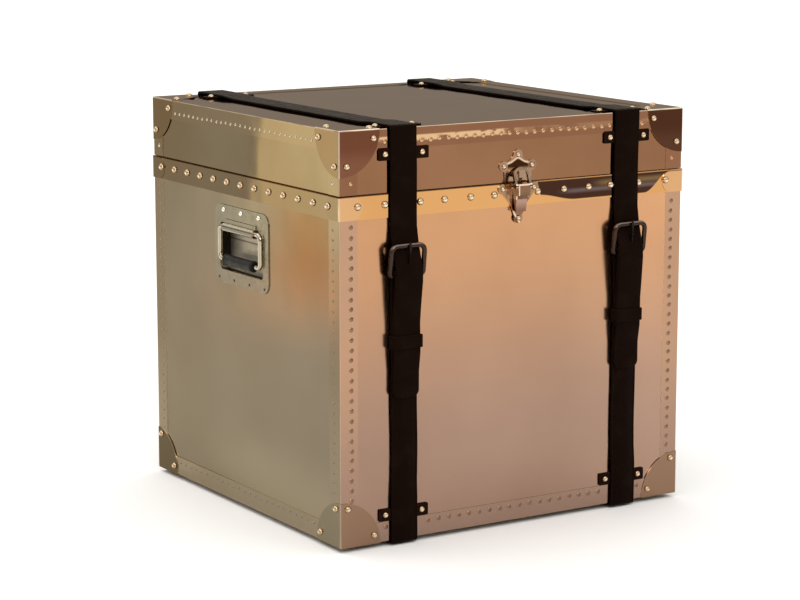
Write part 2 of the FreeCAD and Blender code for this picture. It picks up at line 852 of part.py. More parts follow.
def keeper():
    """A leather ring that holds the billet flat on the lower strap."""
    low, high = keeper_level - keeper_height / 2, keeper_level + keeper_height / 2
    inner_half = strap_width / 2 + leather_gap
    back = strap_seat - leather_gap
    front = billet_over_fold + strap_thickness / 2 + leather_gap
    sides = centred(2 * (inner_half + keeper_thickness))
    ring = slab(sides, (-front - keeper_thickness, -back + keeper_back), (low, high))
    corners = edges_along(ring, AXIS_Z, lambda at: at.y < -front)
    ring = ring.makeFillet(keeper_thickness, corners)
    return ring.cut(slab(centred(2 * inner_half), (-front, -back), (low - overrun, high + overrun)))


def strap_tab(level, seat):
    """A flat leather tab across and behind a strap, from its seat out to the strap."""
    return rounded_plate(tab_width, tab_height, tab_corner, strap_seat - seat, level, seat)


def wall_tab(wall, level, seat):
    """A strap tab on the front or back wall, at one strap."""
    return on_wall(moved(strap_tab(level, seat), -strap_offset), wall)


def top_tab(y, seat):
    """A strap tab on top of the lid."""
    tab = strap_tab(0, seat)
    tab.rotate(HERE, AXIS_X, -90)
    return moved(tab, -strap_offset, y, lid_top)


def strap_pieces():
    """Straps, billets, buckles and keepers on both sides of the front."""
    shapes = {
        "strap_lid": lid_strap(),
        "strap_base": base_strap(),
        "strap_billet": billet(),
        "strap_keeper": keeper(),
        "buckle_frame": buckle_frame(),
        "buckle_prong": buckle_prong(),
    }
    pieces = {}
    for side, x in (("left", -strap_offset), ("right", strap_offset)):
        for name, shape in shapes.items():
            pieces[side + "_" + name] = on_wall(moved(shape, x), "front")
    return pieces


def strap_tabs():
    """The riveted tabs that hold the straps to the lid and to the base."""
    lid_level = lid_top - lid_tab_drop
    foot_level = foot_height + foot_tab_rise
    walls = ("front", "back")
    lid = [wall_tab(wall, lid_level, trim_thickness) for wall in walls]
    lid.append(top_tab(-half_depth + front_tab_inset, trim_thickness))
    lid.append(top_tab(half_depth - rear_tab_inset, 0))
    base = [wall_tab(wall, foot_level, trim_thickness) for wall in walls]
    return {
        "lid_strap_tabs": [copy for tab in lid for copy in both_sides(tab)],
        "base_strap_tabs": [copy for tab in base for copy in both_sides(tab)],
    }


def metal_edges():
    """Trims, caps and rim bands, each group as separate solids."""
    low_trims = [moved(trim, z=foot_height) for trim in edge_trims()]
    top_trims = [moved(mirrored(trim, AXIS_Z), z=lid_top) for trim in edge_trims()]
    return {
        "base_foot_trims": low_trims,
        "base_corner_trims": corner_trims(foot_height + trim_leg, rim_level - band_height),
        "base_corner_caps": corner_caps(foot_height - trim_thickness, False),
        "lid_edge_trims": top_trims,
        "lid_corner_trims": corner_trims(lid_bottom, lid_top - trim_leg),
        "lid_corner_caps": corner_caps(lid_top + trim_thickness, True),
        "rim_bands": rim_bands(),
        "rim_corner_wraps": corner_wraps(),
        "foot_pads": foot_pads(),
    }


def main():
    """Builds every piece and writes one file per node."""
    nodes = {}
    groups = (base_panels, lid_panels, skins, metal_edges, hinges, handles, latch, strap_pieces, strap_tabs)
    for group in groups:
        nodes.update(group())
    os.makedirs("parts", exist_ok=True)
    for name, shape in nodes.items():
        whole = Part.makeCompound(shape) if isinstance(shape, list) else shape
        whole.exportStep("parts/" + name + ".step")


main()
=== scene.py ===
"""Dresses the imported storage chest: sheet metal, nails and rivets, leather straps, hardware and studio."""
import json
import logging
import math
from dataclasses import dataclass, field
from enum import Enum
from random import Random
from typing import Callable, Sequence

import bmesh
import bpy
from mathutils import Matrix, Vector

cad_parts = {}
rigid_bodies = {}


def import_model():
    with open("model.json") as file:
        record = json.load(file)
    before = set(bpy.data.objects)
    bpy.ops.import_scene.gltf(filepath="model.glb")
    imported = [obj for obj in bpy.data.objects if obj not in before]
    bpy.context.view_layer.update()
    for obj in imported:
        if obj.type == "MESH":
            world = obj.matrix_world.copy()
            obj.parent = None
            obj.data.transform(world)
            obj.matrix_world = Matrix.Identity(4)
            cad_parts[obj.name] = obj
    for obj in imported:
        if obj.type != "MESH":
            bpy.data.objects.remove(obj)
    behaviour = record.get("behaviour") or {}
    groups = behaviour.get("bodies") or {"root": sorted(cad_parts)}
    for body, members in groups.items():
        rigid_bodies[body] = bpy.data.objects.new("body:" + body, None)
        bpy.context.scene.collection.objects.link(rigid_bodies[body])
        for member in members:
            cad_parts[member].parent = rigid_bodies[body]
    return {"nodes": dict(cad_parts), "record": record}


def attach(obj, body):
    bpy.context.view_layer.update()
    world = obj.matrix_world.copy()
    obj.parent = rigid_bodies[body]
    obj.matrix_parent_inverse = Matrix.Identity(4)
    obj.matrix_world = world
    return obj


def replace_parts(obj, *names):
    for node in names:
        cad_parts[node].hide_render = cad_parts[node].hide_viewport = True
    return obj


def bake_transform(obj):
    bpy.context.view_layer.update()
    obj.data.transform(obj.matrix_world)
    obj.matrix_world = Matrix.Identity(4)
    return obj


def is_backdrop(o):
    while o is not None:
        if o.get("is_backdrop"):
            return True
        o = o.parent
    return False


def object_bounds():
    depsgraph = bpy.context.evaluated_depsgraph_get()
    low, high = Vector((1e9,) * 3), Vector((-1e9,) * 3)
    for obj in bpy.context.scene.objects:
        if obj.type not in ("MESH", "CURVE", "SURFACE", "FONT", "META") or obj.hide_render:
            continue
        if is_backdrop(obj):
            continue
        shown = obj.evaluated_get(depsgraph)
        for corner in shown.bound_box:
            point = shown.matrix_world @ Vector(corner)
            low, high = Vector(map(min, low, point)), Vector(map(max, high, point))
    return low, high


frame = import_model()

LOG = logging.getLogger("chest")
CAD_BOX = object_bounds()
Colour = tuple[float, float, float]
Range = tuple[float, float]
Point2 = tuple[float, float]
Corner = tuple[float, float, float]
Shape = tuple[list[Vector], list[tuple[int, ...]]]
Placing = Callable[[float, float, float], Vector]
Socket = bpy.types.NodeSocket
Material = bpy.types.Material
Piece = bpy.types.Object
UP = Vector((0.0, 0.0, 1.0))


@dataclass(frozen=True)
class ChestSizes:
    """Levels and reaches of the chest that several sub-assemblies share, in metres."""

    half_width: float = 0.274
    half_depth: float = 0.260
    foot: float = 0.008
    rim: float = 0.468
    lid_bottom: float = 0.469
    lid_top: float = 0.551
    trim: float = 0.001
    cap_face: float = 0.002
    band: float = 0.0016
    wrap_face: float = 0.0026
    strap_offset: float = 0.179


CHEST = ChestSizes()


class Wall(Enum):
    """The four walls, each with its outward direction."""

    FRONT = (0.0, -1.0)
    LEFT = (-1.0, 0.0)
    BACK = (0.0, 1.0)
    RIGHT = (1.0, 0.0)

    @property
    def normal(self) -> Vector:
        """The outward direction."""
        return Vector((*self.value, 0.0))

    @property
    def half_span(self) -> float:
        """Half of the wall's width."""
        return CHEST.half_width if self.value[0] == 0 else CHEST.half_depth

    def at(self, across: float, out: float, level: float) -> Vector:
        """A point of the wall.

        Args:
            across: Distance to the right of the middle, seen from outside.
            out: Distance outwards from the metal skin.
            level: Height over the floor.

        Returns:
            The point in the chest's frame.
        """
        reach = (CHEST.half_depth if self.value[0] == 0 else CHEST.half_width) + out
        along = Vector((-self.value[1], self.value[0], 0.0))
        return self.normal * reach + along * across + Vector((0.0, 0.0, level))


class Side(Enum):
    """The left and the right half of the chest."""

    LEFT = -1
    RIGHT = 1

    @property
    def word(self) -> str:
        """The side's name in node and body names."""
        return self.name.lower()


@dataclass(frozen=True)
class Mottle:
    """A noise pattern, and the span of its values over which it shows."""

    scale: float
    detail: float
    low: float
    high: float
    stretch: Colour = (1.0, 1.0, 1.0)


class Graph:
    """One procedural material and short ways to wire its nodes.

    spot holds the place on the piece in metres and facing its normal, each as three sockets.
    """

    def __init__(self, name: str) -> None:
        """Starts the material.

        Args:
            name: The material's name.
        """
        self.material = bpy.data.materials.new(name)
        self.material.use_nodes = True
        self.tree = self.material.node_tree
        self.shader = self.tree.nodes["Principled BSDF"]
        self.coords = self.add("ShaderNodeTexCoord")
        self.spot, self.facing = (
            list(self.add("ShaderNodeSeparateXYZ", {0: self.coords.outputs[space]}).outputs)
            for space in ("Object", "Normal")
        )

    def add(self, kind: str, values: dict | None = None, **settings: object) -> bpy.types.Node:
        """Adds a node.

        Args:
            kind: The node's type.
            values: A value or a socket for each input, by name or place.
            settings: Attributes of the node.

        Returns:
            The node.
        """
        node = self.tree.nodes.new(kind)
        for key, value in settings.items():
            setattr(node, key, value)
        for key, value in (values or {}).items():
            self.feed(node.inputs[key], value)
        return node

    def feed(self, socket: Socket, value: object) -> None:
        """Links a socket to an input, or sets the input's value.

        Args:
            socket: The input.
            value: A socket or a plain value.
        """
        if isinstance(value, Socket):
            self.tree.links.new(value, socket)
        else:
            socket.default_value = value

    def place(self, stretch: Colour) -> Socket:
        """The place on the piece in metres, stretched along each axis."""
        values = {0: self.coords.outputs["Object"], 1: stretch}
        return self.add("ShaderNodeVectorMath", values, operation="MULTIPLY").outputs[0]

    def noise(self, scale: float, detail: float = 3.0, stretch: Colour = (1.0, 1.0, 1.0)) -> Socket:
        """A noise value between zero and one."""
        values = {"Vector": self.place(stretch), "Scale": scale, "Detail": detail}
        return self.add("ShaderNodeTexNoise", values).outputs[0]

    def cells(self, scale: float) -> Socket:
        """The distance to the nearest of many scattered points."""
        values = {"Vector": self.place((1.0, 1.0, 1.0)), "Scale": scale}
        return self.add("ShaderNodeTexVoronoi", values).outputs["Distance"]

    def math(self, kind: str, first: object, second: object = 0.0) -> Socket:
        """One arithmetic step."""
        return self.add("ShaderNodeMath", {0: first, 1: second}, operation=kind).outputs[0]

    def plus(self, first: object, second: object) -> Socket:
        """The sum of two values."""
        return self.math("ADD", first, second)

    def minus(self, first: object, second: object) -> Socket:
        """The first value less the second."""
        return self.math("SUBTRACT", first, second)

    def times(self, first: object, second: object) -> Socket:
        """The product of two values."""
        return self.math("MULTIPLY", first, second)

    def most(self, first: object, second: object) -> Socket:
        """The larger of two values."""
        return self.math("MAXIMUM", first, second)

    def size(self, value: object) -> Socket:
        """A value without its sign."""
        return self.math("ABSOLUTE", value)

    def rest(self, share: object) -> Socket:
        """What a share leaves of one."""
        return self.minus(1.0, share)

    def remap(self, value: object, low: float, high: float, first: float, last: float) -> Socket:
        """Carries a range of values softly to another one."""
        values = {"Value": value, "From Min": low, "From Max": high, "To Min": first, "To Max": last}
        return self.add("ShaderNodeMapRange", values, interpolation_type="SMOOTHSTEP").outputs[0]

    def rise(self, value: object, low: float, high: float) -> Socket:
        """A share that goes from zero to one over a range."""
        return self.remap(value, low, high, 0.0, 1.0)

    def fall(self, value: object, low: float, high: float) -> Socket:
        """A share that goes from one to zero over a range."""
        return self.remap(value, low, high, 1.0, 0.0)

    def mottle(self, kind: Mottle, first: float = 0.0, last: float = 1.0) -> Socket:
        """A noise pattern carried to a range of values."""
        return self.remap(self.noise(kind.scale, kind.detail, kind.stretch), kind.low, kind.high, first, last)

    def between(self, value: object, start: Range, end: Range) -> Socket:
        """A share that rises over one range and falls over a later one."""
        return self.times(self.rise(value, *start), self.fall(value, *end))

    def mix(self, share: object, first: object, second: object, kind: str = "MIX") -> Socket:
        """A colour between two, by a share.

        Args:
            share: Share of the second.
            first: The first colour.
            second: The second colour.
            kind: How the second is laid over the first.

        Returns:
            The colour.
        """
        node = self.add("ShaderNodeMix", data_type="RGBA", blend_type=kind)
        for place, value in ((0, share), (6, first), (7, second)):
            self.feed(node.inputs[place], (*value, 1.0) if isinstance(value, tuple) else value)
        return node.outputs[2]

    def scaled(self, share: object, tone: Socket, factor: Colour) -> Socket:
        """A tone that is multiplied where a share is one."""
        return self.mix(share, tone, self.mix(1.0, tone, factor, "MULTIPLY"))

    def bump(self, height: object, strength: float, depth: float, under: object = None) -> Socket:
        """A normal from a height, over an earlier one.

        Args:
            height: The height.
            strength: Strength of the relief.
            depth: Depth in metres.
            under: The earlier normal, if any.

        Returns:
            The normal.
        """
        node = self.add("ShaderNodeBump", {"Height": height, "Strength": strength, "Distance": depth})
        if under is not None:
            self.feed(node.inputs["Normal"], under)
        return node.outputs[0]

    def finish(self, **inputs: object) -> Material:
        """Sets the shader's inputs, with underscores for blanks, and gives the material.

        Args:
            inputs: A value or a socket for each input of the shader.

        Returns:
            The material.
        """
        for key, value in inputs.items():
            whole = (*value, 1.0) if isinstance(value, tuple) else value
            self.feed(self.shader.inputs[key.replace("_", " ")], whole)
        return self.material


class Mark:
    """A mark that the sheet of some pieces carries. This one is none."""

    def paint(self, g: Graph, tone: Socket) -> Socket:
        """Adds the mark.

        Args:
            g: The material's graph.
            tone: The tone so far.

        Returns:
            The tone with the mark.
        """
        return tone


@dataclass(frozen=True)
class Streak:
    """A paler painted highlight streak in the dark lens, from a place across onwards and between two levels.
    """

    start: float
    low: float
    high: float
    tone: Colour
    fade: float = 0.035


@dataclass(frozen=True)
class LensMark(Mark):
    """A painted reflection: the dark lens on the band in front, to the right of the latch.

    Its lower edge drops at the tip, swells, and climbs at the right end.
    """

    start: Range = (0.0305, 0.0325)
    top: Range = (0.4662, 0.4670)
    blur: Range = (-0.0004, 0.0012)
    tip: tuple[float, ...] = (0.031, 0.038, 0.4558, 0.4388)
    swell: tuple[float, ...] = (0.034, 0.095, 0.0095, 0.0)
    climb: tuple[float, ...] = (0.211, 0.254, 0.0, 0.0265)
    skin: float = 0.0004
    # Tone of the painted dark reflection.
    tone: Colour = (0.050, 0.022, 0.014)
    streaks: tuple[Streak, ...] = (
        Streak(0.060, 0.4455, 0.4555, (0.125, 0.088, 0.082)),
        Streak(0.115, 0.4515, 0.4650, (0.170, 0.105, 0.046)),
    )

    def paint(self, g: Graph, tone: Socket) -> Socket:
        """Adds the painted reflection.

        Args:
            g: The material's graph.
            tone: The tone so far.

        Returns:
            The tone with the mark.
        """
        x, y, z = g.spot
        edge = g.plus(g.plus(g.remap(x, *self.tip), g.remap(x, *self.swell)), g.remap(x, *self.climb))
        patch = g.times(g.rise(g.minus(z, edge), *self.blur), g.fall(z, *self.top))
        patch = g.times(patch, g.fall(y, -CHEST.half_depth - self.skin, -CHEST.half_depth))
        patch = g.times(patch, g.rise(x, *self.start))
        deep: object = self.tone
        for streak in self.streaks:
            middle = (streak.low + streak.high) / 2
            share = g.between(z, (streak.low, middle), (middle, streak.high))
            share = g.times(share, g.rise(x, streak.start, streak.start + streak.fade))
            deep = g.mix(share, deep, streak.tone)
        return g.mix(patch, tone, deep)


@dataclass(frozen=True)
class GlowMark(Mark):
    """Painted light on the left wall: a lighter foot on its near part, and a warm bloom of painted light in
    front of its handle.
    """

    middle: Point2 = (-0.185, 0.405)
    reach: Point2 = (0.12, 0.11)
    fade: Range = (0.10, 1.3)
    # Tone of the warm bloom of painted light.
    warm: Colour = (0.192, 0.126, 0.072)
    skin: float = 0.0018
    foot: Range = (0.045, 0.140)
    near: Range = (-0.10, 0.20)
    # Painted light: the foot's tone is multiplied by this.
    lift: Colour = (1.36, 1.34, 1.28)

    def paint(self, g: Graph, tone: Socket) -> Socket:
        """Adds the painted light: foot and bloom.

        Args:
            g: The material's graph.
            tone: The tone so far.

        Returns:
            The tone with the mark.
        """
        x, y, z = g.spot
        wide, tall = (
            g.math("POWER", g.math("DIVIDE", g.minus(part, middle), reach), 2.0)
            for part, middle, reach in zip((y, z), self.middle, self.reach)
        )
        far = g.math("SQRT", g.plus(wide, tall))
        left = g.fall(x, -CHEST.half_width, self.skin - CHEST.half_width)
        low = g.times(g.times(left, g.fall(z, *self.foot)), g.fall(y, *self.near))
        tone = g.scaled(low, tone, self.lift)
        return g.mix(g.times(left, g.fall(far, *self.fade)), tone, self.warm)


@dataclass(frozen=True)
class RidgeMark(Mark):
    """Painted highlights: long bright blotches at the nails in front, fainter to the right."""

    lower: Range = (0.5325, 0.5350)
    upper: Range = (0.5400, 0.5425)
    gaps: Mottle = Mottle(1.0, 2.0, 0.36, 0.54, (55.0, 1.0, 110.0))
    fade: tuple[float, ...] = (-0.035, 0.015, 1.0, 0.15)
    tone: Colour = (0.65, 0.42, 0.23)

    def paint(self, g: Graph, tone: Socket) -> Socket:
        """Adds the painted highlight blotches.

        Args:
            g: The material's graph.
            tone: The tone so far.

        Returns:
            The tone with the mark.
        """
        run = g.between(g.spot[2], self.lower, self.upper)
        ends = g.remap(g.spot[0], *self.fade)
        share = g.times(g.times(run, g.mottle(self.gaps)), g.times(on_plane(g, 1, CHEST.half_depth), ends))
        return g.mix(share, tone, self.tone)


def on_plane(g: Graph, axis: int, reach: float, blur: float = 0.0006) -> Socket:
    """One on the two planes that lie a reach from the middle along an axis."""
    return g.rise(g.size(g.spot[axis]), reach - blur, reach)


@dataclass(frozen=True)
class SheetMetal:
    """Polished sheet whose tone differs on front, sides and top, and from the foot to the rim.

    The tones per face are painted light: lit and shaded copies of one metal, as the chest shows them on each
    side, coppery in front, olive brass at the sides. The change of tone from the foot to the rim is painted
    light and shade.
    """

    name: str
    # Painted light: the front and side tones, each a pair from foot to rim, and the top tone are lit and
    # shaded copies of one metal.
    front: tuple[Colour, Colour]
    side: tuple[Colour, Colour]
    top: Colour
    roughness: float
    haze: float = 0.02
    waves: float = 0.04
    cloud: float = 0.12
    # Painted light and shade: the front's tone is scaled by right_shade towards the right.
    right_shade: float = 1.0
    right_from: float = -0.20
    right_to: float = 0.26
    # Painted light: the side's tone is scaled by this towards the near end.
    near_side: float = 1.0
    near: Range = (-0.20, 0.20)
    # Strength of the painted highlight on the edges, broken up by wear noise.
    rubbed: float = 0.95
    # Tone of the painted edge highlight.
    bare: Colour = (0.80, 0.66, 0.50)
    # Tone of the painted highlight on the cut edges.
    cut_edge: Colour = (0.82, 0.69, 0.54)
    # Painted shade in the seam where lid and base meet.
    gap: Colour = (0.035, 0.012, 0.005)
    smudged: Colour = (0.45, 0.32, 0.22)
    tint: Colour = (0.63, 0.51, 0.40)
    smudges: Mottle = Mottle(6.0, 5.0, 0.35, 0.7)
    smears: Mottle = Mottle(22.0, 5.0, 0.3, 0.75, (1.0, 1.0, 0.45))
    wear: Mottle = Mottle(25.0, 4.0, 0.3, 0.6)
    wave_scale: float = 9.0
    wave_depth: float = 0.02
    looking: Range = (0.35, 0.9)
    turned: Range = (0.55, 0.90)
    bend: Range = (0.0001, 0.0010)
    top_blur: Range = (-0.0002, 0.0004)
    seam_width: Range = (0.0007, 0.0017)
    seam_strength: float = 0.9
    seam_fade: tuple[float, ...] = (0.0, 0.06, 1.0, 0.35)
    mark: Mark = Mark()
    low: float = 0.12
    high: float = 0.47

    def material(self) -> Material:
        """Builds the material.

        Returns:
            The material.
        """
        g = Graph(self.name)
        planes = (
            on_plane(g, 0, CHEST.half_width),
            on_plane(g, 1, CHEST.half_depth),
            g.rise(g.spot[2], *(CHEST.lid_top + off for off in self.top_blur)),
        )
        tone = self.walls(g, planes[0], planes[1])
        # Painted light: faces that look up take the top tone, a lit copy of the metal.
        tone = g.mix(g.rise(g.size(g.facing[2]), *self.looking), tone, self.top)
        tone = g.mix(g.mottle(self.smudges, 0.0, self.cloud), tone, self.smudged, "MULTIPLY")
        tone = self.mark.paint(g, tone)
        # Painted highlight where the sheet turns round an edge.
        tone = g.mix(self.edges(g, planes[2]), tone, self.bare)
        # Painted highlight on the cut edges.
        tone = g.mix(self.steps(g, planes), tone, self.cut_edge)
        # Painted shade in the seam.
        tone = g.mix(self.seam(g), tone, self.gap)
        rough = g.mottle(self.smears, self.roughness - self.haze, self.roughness + self.haze)
        normal = g.bump(g.noise(self.wave_scale, 1.0), self.waves, self.wave_depth)
        return g.finish(Base_Color=tone, Metallic=1.0, Roughness=rough, Normal=normal,
                        Specular_Tint=self.tint)

    def walls(self, g: Graph, at_side: Socket, at_front: Socket) -> Socket:
        """The tone of the upright faces, with the small steps of each wall in that wall's tone.

        Args:
            g: The material's graph.
            at_side: One on the planes of the side walls.
            at_front: One on the planes of the front and back walls.

        Returns:
            The tone.
        """
        x, y, z = g.spot
        # Painted light and shade: the tones change from the foot to the rim.
        rise = g.rise(z, self.low, self.high)
        looks_front = g.rise(g.size(g.facing[1]), *self.looking)
        only_side = g.times(at_side, g.rest(at_front))
        only_front = g.times(at_front, g.rest(at_side))
        share = g.most(g.times(looks_front, g.rest(only_side)), only_front)
        # Painted light and shade on the right of the front and on the near part of the sides.
        right = g.rise(x, self.right_from, self.right_to)
        front = g.scaled(right, g.mix(rise, *self.front), (self.right_shade,) * 3)
        side = g.scaled(g.fall(y, *self.near), g.mix(rise, *self.side), (self.near_side,) * 3)
        return g.mix(share, side, front)

    def edges(self, g: Graph, at_top: Socket) -> Socket:
        """Where the sheet turns round an edge of the box and carries a painted highlight, broken up by wear
        noise.

        Args:
            g: The material's graph.
            at_top: One on the plane of the lid's top.

        Returns:
            The share.
        """
        round_x, round_y = (
            g.rise(g.size(part), reach + self.bend[0], reach + self.bend[1])
            for part, reach in zip(g.spot, (CHEST.half_width, CHEST.half_depth))
        )
        level = g.times(at_top, g.most(round_x, round_y))
        worn = g.mottle(self.wear, self.rubbed / 2, self.rubbed)
        return g.times(g.most(g.times(round_x, round_y), level), worn)

    def steps(self, g: Graph, planes: tuple[Socket, ...]) -> Socket:
        """One on the cut edges of strips, caps and bands, which carry a painted highlight: on a plane of the
        box, but looking another way.

        Args:
            g: The material's graph.
            planes: One on the planes of the sides, of the front and back, and of the top.

        Returns:
            The share.
        """
        found: object = 0.0
        for axis, plane in enumerate(planes):
            turned = g.fall(g.size(g.facing[axis]), *self.turned)
            for other in planes[:axis] + planes[axis + 1:]:
                turned = g.times(turned, g.rest(other))
            found = g.most(found, g.times(plane, turned))
        return found

    def seam(self, g: Graph) -> Socket:
        """The painted shade line where lid and base meet, fainter at the right."""
        line = g.remap(g.size(g.minus(g.spot[2], CHEST.rim)), *self.seam_width, self.seam_strength, 0.0)
        return g.times(line, g.remap(g.spot[0], *self.seam_fade))


@dataclass(frozen=True)
class Plated:
    """Cast or pressed hardware with a plated skin, darkened in places, and with painted light where it turns.
    """

    name: str
    bright: Colour
    dull: Colour
    # Painted light where a face turns: lighter than bright on some finishes, darker on others.
    turned: Colour
    roughness: float
    wear: float = 0.5
    grain: float = 0.2
    grain_scale: float = 900.0
    grain_depth: float = 0.0002
    patches: Mottle = Mottle(60.0, 6.0, 0.42, 0.68)
    smears: Mottle = Mottle(140.0, 4.0, 0.3, 0.7)
    smear_shares: Range = (0.75, 1.35)
    pit_scale: float = 1400.0
    pit_width: Range = (0.05, 0.3)
    pit_strength: float = 0.35
    round_from: Range = (0.80, 0.985)

    def material(self) -> Material:
        """Builds the material.

        Returns:
            The material.
        """
        g = Graph(self.name)
        x, y, z = (g.size(part) for part in g.facing)
        flat = g.most(g.most(x, y), z)
        worn = g.mix(g.mottle(self.patches, 0.0, self.wear), self.bright, self.dull)
        pits = g.times(g.fall(g.cells(self.pit_scale), *self.pit_width), self.pit_strength)
        tone = self.shaded(g, g.mix(pits, worn, self.dull))
        # Painted light: faces that turn from the axes take the turned tone.
        tone = g.mix(g.fall(flat, *self.round_from), tone, self.rounded(g))
        rough = g.mottle(self.smears, *(self.roughness * share for share in self.smear_shares))
        normal = g.bump(g.noise(self.grain_scale), self.grain, self.grain_depth)
        return g.finish(Base_Color=tone, Metallic=1.0, Roughness=self.dulled(g, rough), Normal=normal)

    def rounded(self, g: Graph) -> object:
        """The tone where a face turns: a painted highlight on some finishes, painted shade on others."""
        return self.turned

    def shaded(self, g: Graph, tone: Socket) -> Socket:
        """Adds the shades of one kind of hardware.

        Args:
            g: The material's graph.
            tone: The tone so far.

        Returns:
            The tone with the shades.
        """
        return tone

    def dulled(self, g: Graph, rough: Socket) -> Socket:
        """The roughness with the dull places of one kind of hardware."""
        return rough


@dataclass(frozen=True)
class LatchLidPlate(Plated):
    """The latch's upper plate, with a painted highlight on the ridge between its lobes and painted shade in
    the hollow under it, lighter low down.
    """

    peak: float = 0.5005
    slope: float = 0.25
    crown: tuple[float, ...] = (0.0, 0.012, 0.0, 0.0030)
    ridge: tuple[Range, Range] = ((-0.0030, -0.0012), (-0.0002, 0.0006))
    ridge_end: Range = (0.0150, 0.0200)
    ridge_tone: Colour = (0.66, 0.49, 0.35)
    hollow: Range = (0.0002, 0.0016)
    hollow_end: Range = (0.0155, 0.0175)
    hollow_levels: Range = (0.4845, 0.4905)
    hollow_tones: tuple[Colour, Colour] = ((0.34, 0.215, 0.135), (0.040, 0.014, 0.005))

    def shaded(self, g: Graph, tone: Socket) -> Socket:
        """Adds ridge and hollow.

        Args:
            g: The material's graph.
            tone: The tone so far.

        Returns:
            The tone with the shades.
        """
        level = g.spot[2]
        across = g.size(g.spot[0])
        drop = g.plus(g.times(across, self.slope), g.remap(across, *self.crown))
        under = g.minus(g.minus(self.peak, drop), level)
        # Painted highlight along the ridge.
        ridge = g.times(g.between(under, *self.ridge), g.fall(across, *self.ridge_end))
        tone = g.mix(ridge, tone, self.ridge_tone)
        # Painted shade in the hollow, with painted light low down.
        hollow = g.times(g.rise(under, *self.hollow), g.fall(across, *self.hollow_end))
        return g.mix(hollow, tone, g.mix(g.rise(level, *self.hollow_levels), *self.hollow_tones))


@dataclass(frozen=True)
class LatchBasePlate(Plated):
    """The latch's lower plate, with a painted highlight line along its tail's left edge and painted shade on
    the slope outside it.

    edge gives the line's distance from the origin, and its normal's parts across and upwards.
    """

    edge: tuple[float, float, float] = (0.24097, 0.817, 0.577)
    tail: Range = (0.447, 0.452)
    slope: Range = (0.0006, 0.0016)
    slope_tone: Colour = (0.16, 0.082, 0.040)
    line: tuple[Range, Range] = ((-0.0016, -0.0008), (0.0008, 0.0014))
    line_tone: Colour = (0.74, 0.56, 0.40)

    def shaded(self, g: Graph, tone: Socket) -> Socket:
        """Adds the painted highlight line and the painted shade on the slope.

        Args:
            g: The material's graph.
            tone: The tone so far.

        Returns:
            The tone with the shades.
        """
        x, _, z = g.spot
        far, across, up = self.edge
        out = g.minus(far, g.plus(g.times(x, across), g.times(z, up)))
        below = g.fall(z, *self.tail)
        tone = g.mix(g.times(below, g.rise(out, *self.slope)), tone, self.slope_tone)
        return g.mix(g.times(below, g.between(out, *self.line)), tone, self.line_tone)


@dataclass(frozen=True)
class LatchLever(Plated):
    """The latch's lever: painted highlights on the edges at the left and the top of its dark nose, and a
    pinkish tongue.
    """

    left_edge: Range = (-0.0076, -0.0068)
    top_edge: Range = (0.4652, 0.4660)
    edge_tone: Colour = (0.74, 0.56, 0.41)
    nose: Range = (0.4462, 0.4475)
    tongue: Range = (0.428, 0.446)
    tongue_tones: tuple[Colour, Colour] = ((0.18, 0.090, 0.062), (0.37, 0.225, 0.175))

    def shaded(self, g: Graph, tone: Socket) -> Socket:
        """Adds the painted edge highlights and the tongue.

        Args:
            g: The material's graph.
            tone: The tone so far.

        Returns:
            The tone with the shades.
        """
        x, _, level = g.spot
        edge = g.most(g.fall(x, *self.left_edge), g.rise(level, *self.top_edge))
        tongue = g.mix(g.rise(level, *self.tongue), *self.tongue_tones)
        return g.mix(g.fall(level, *self.nose), g.mix(edge, tone, self.edge_tone), tongue)


@dataclass(frozen=True)
class BuckleBronze(Plated):
    """Dark bronze with painted light, lighter where it looks up, and black under a level."""

    waxed: float = 0.0
    fade: float = 0.010
    # Painted light: faces looking up take the lighter turned tone.
    upward: Range = (0.1, 0.8)
    wax: Colour = (0.006, 0.0035, 0.0025)

    def rounded(self, g: Graph) -> Socket:
        """The tone of the rod all round: painted light from above, black under a level."""
        tone = g.mix(g.rise(g.facing[2], *self.upward), self.dull, self.turned)
        return g.mix(g.fall(g.spot[2], self.waxed, self.waxed + self.fade), tone, self.wax)

    def shaded(self, g: Graph, tone: Socket) -> Socket:
        """Gives flat places the rod's tone."""
        return self.rounded(g)


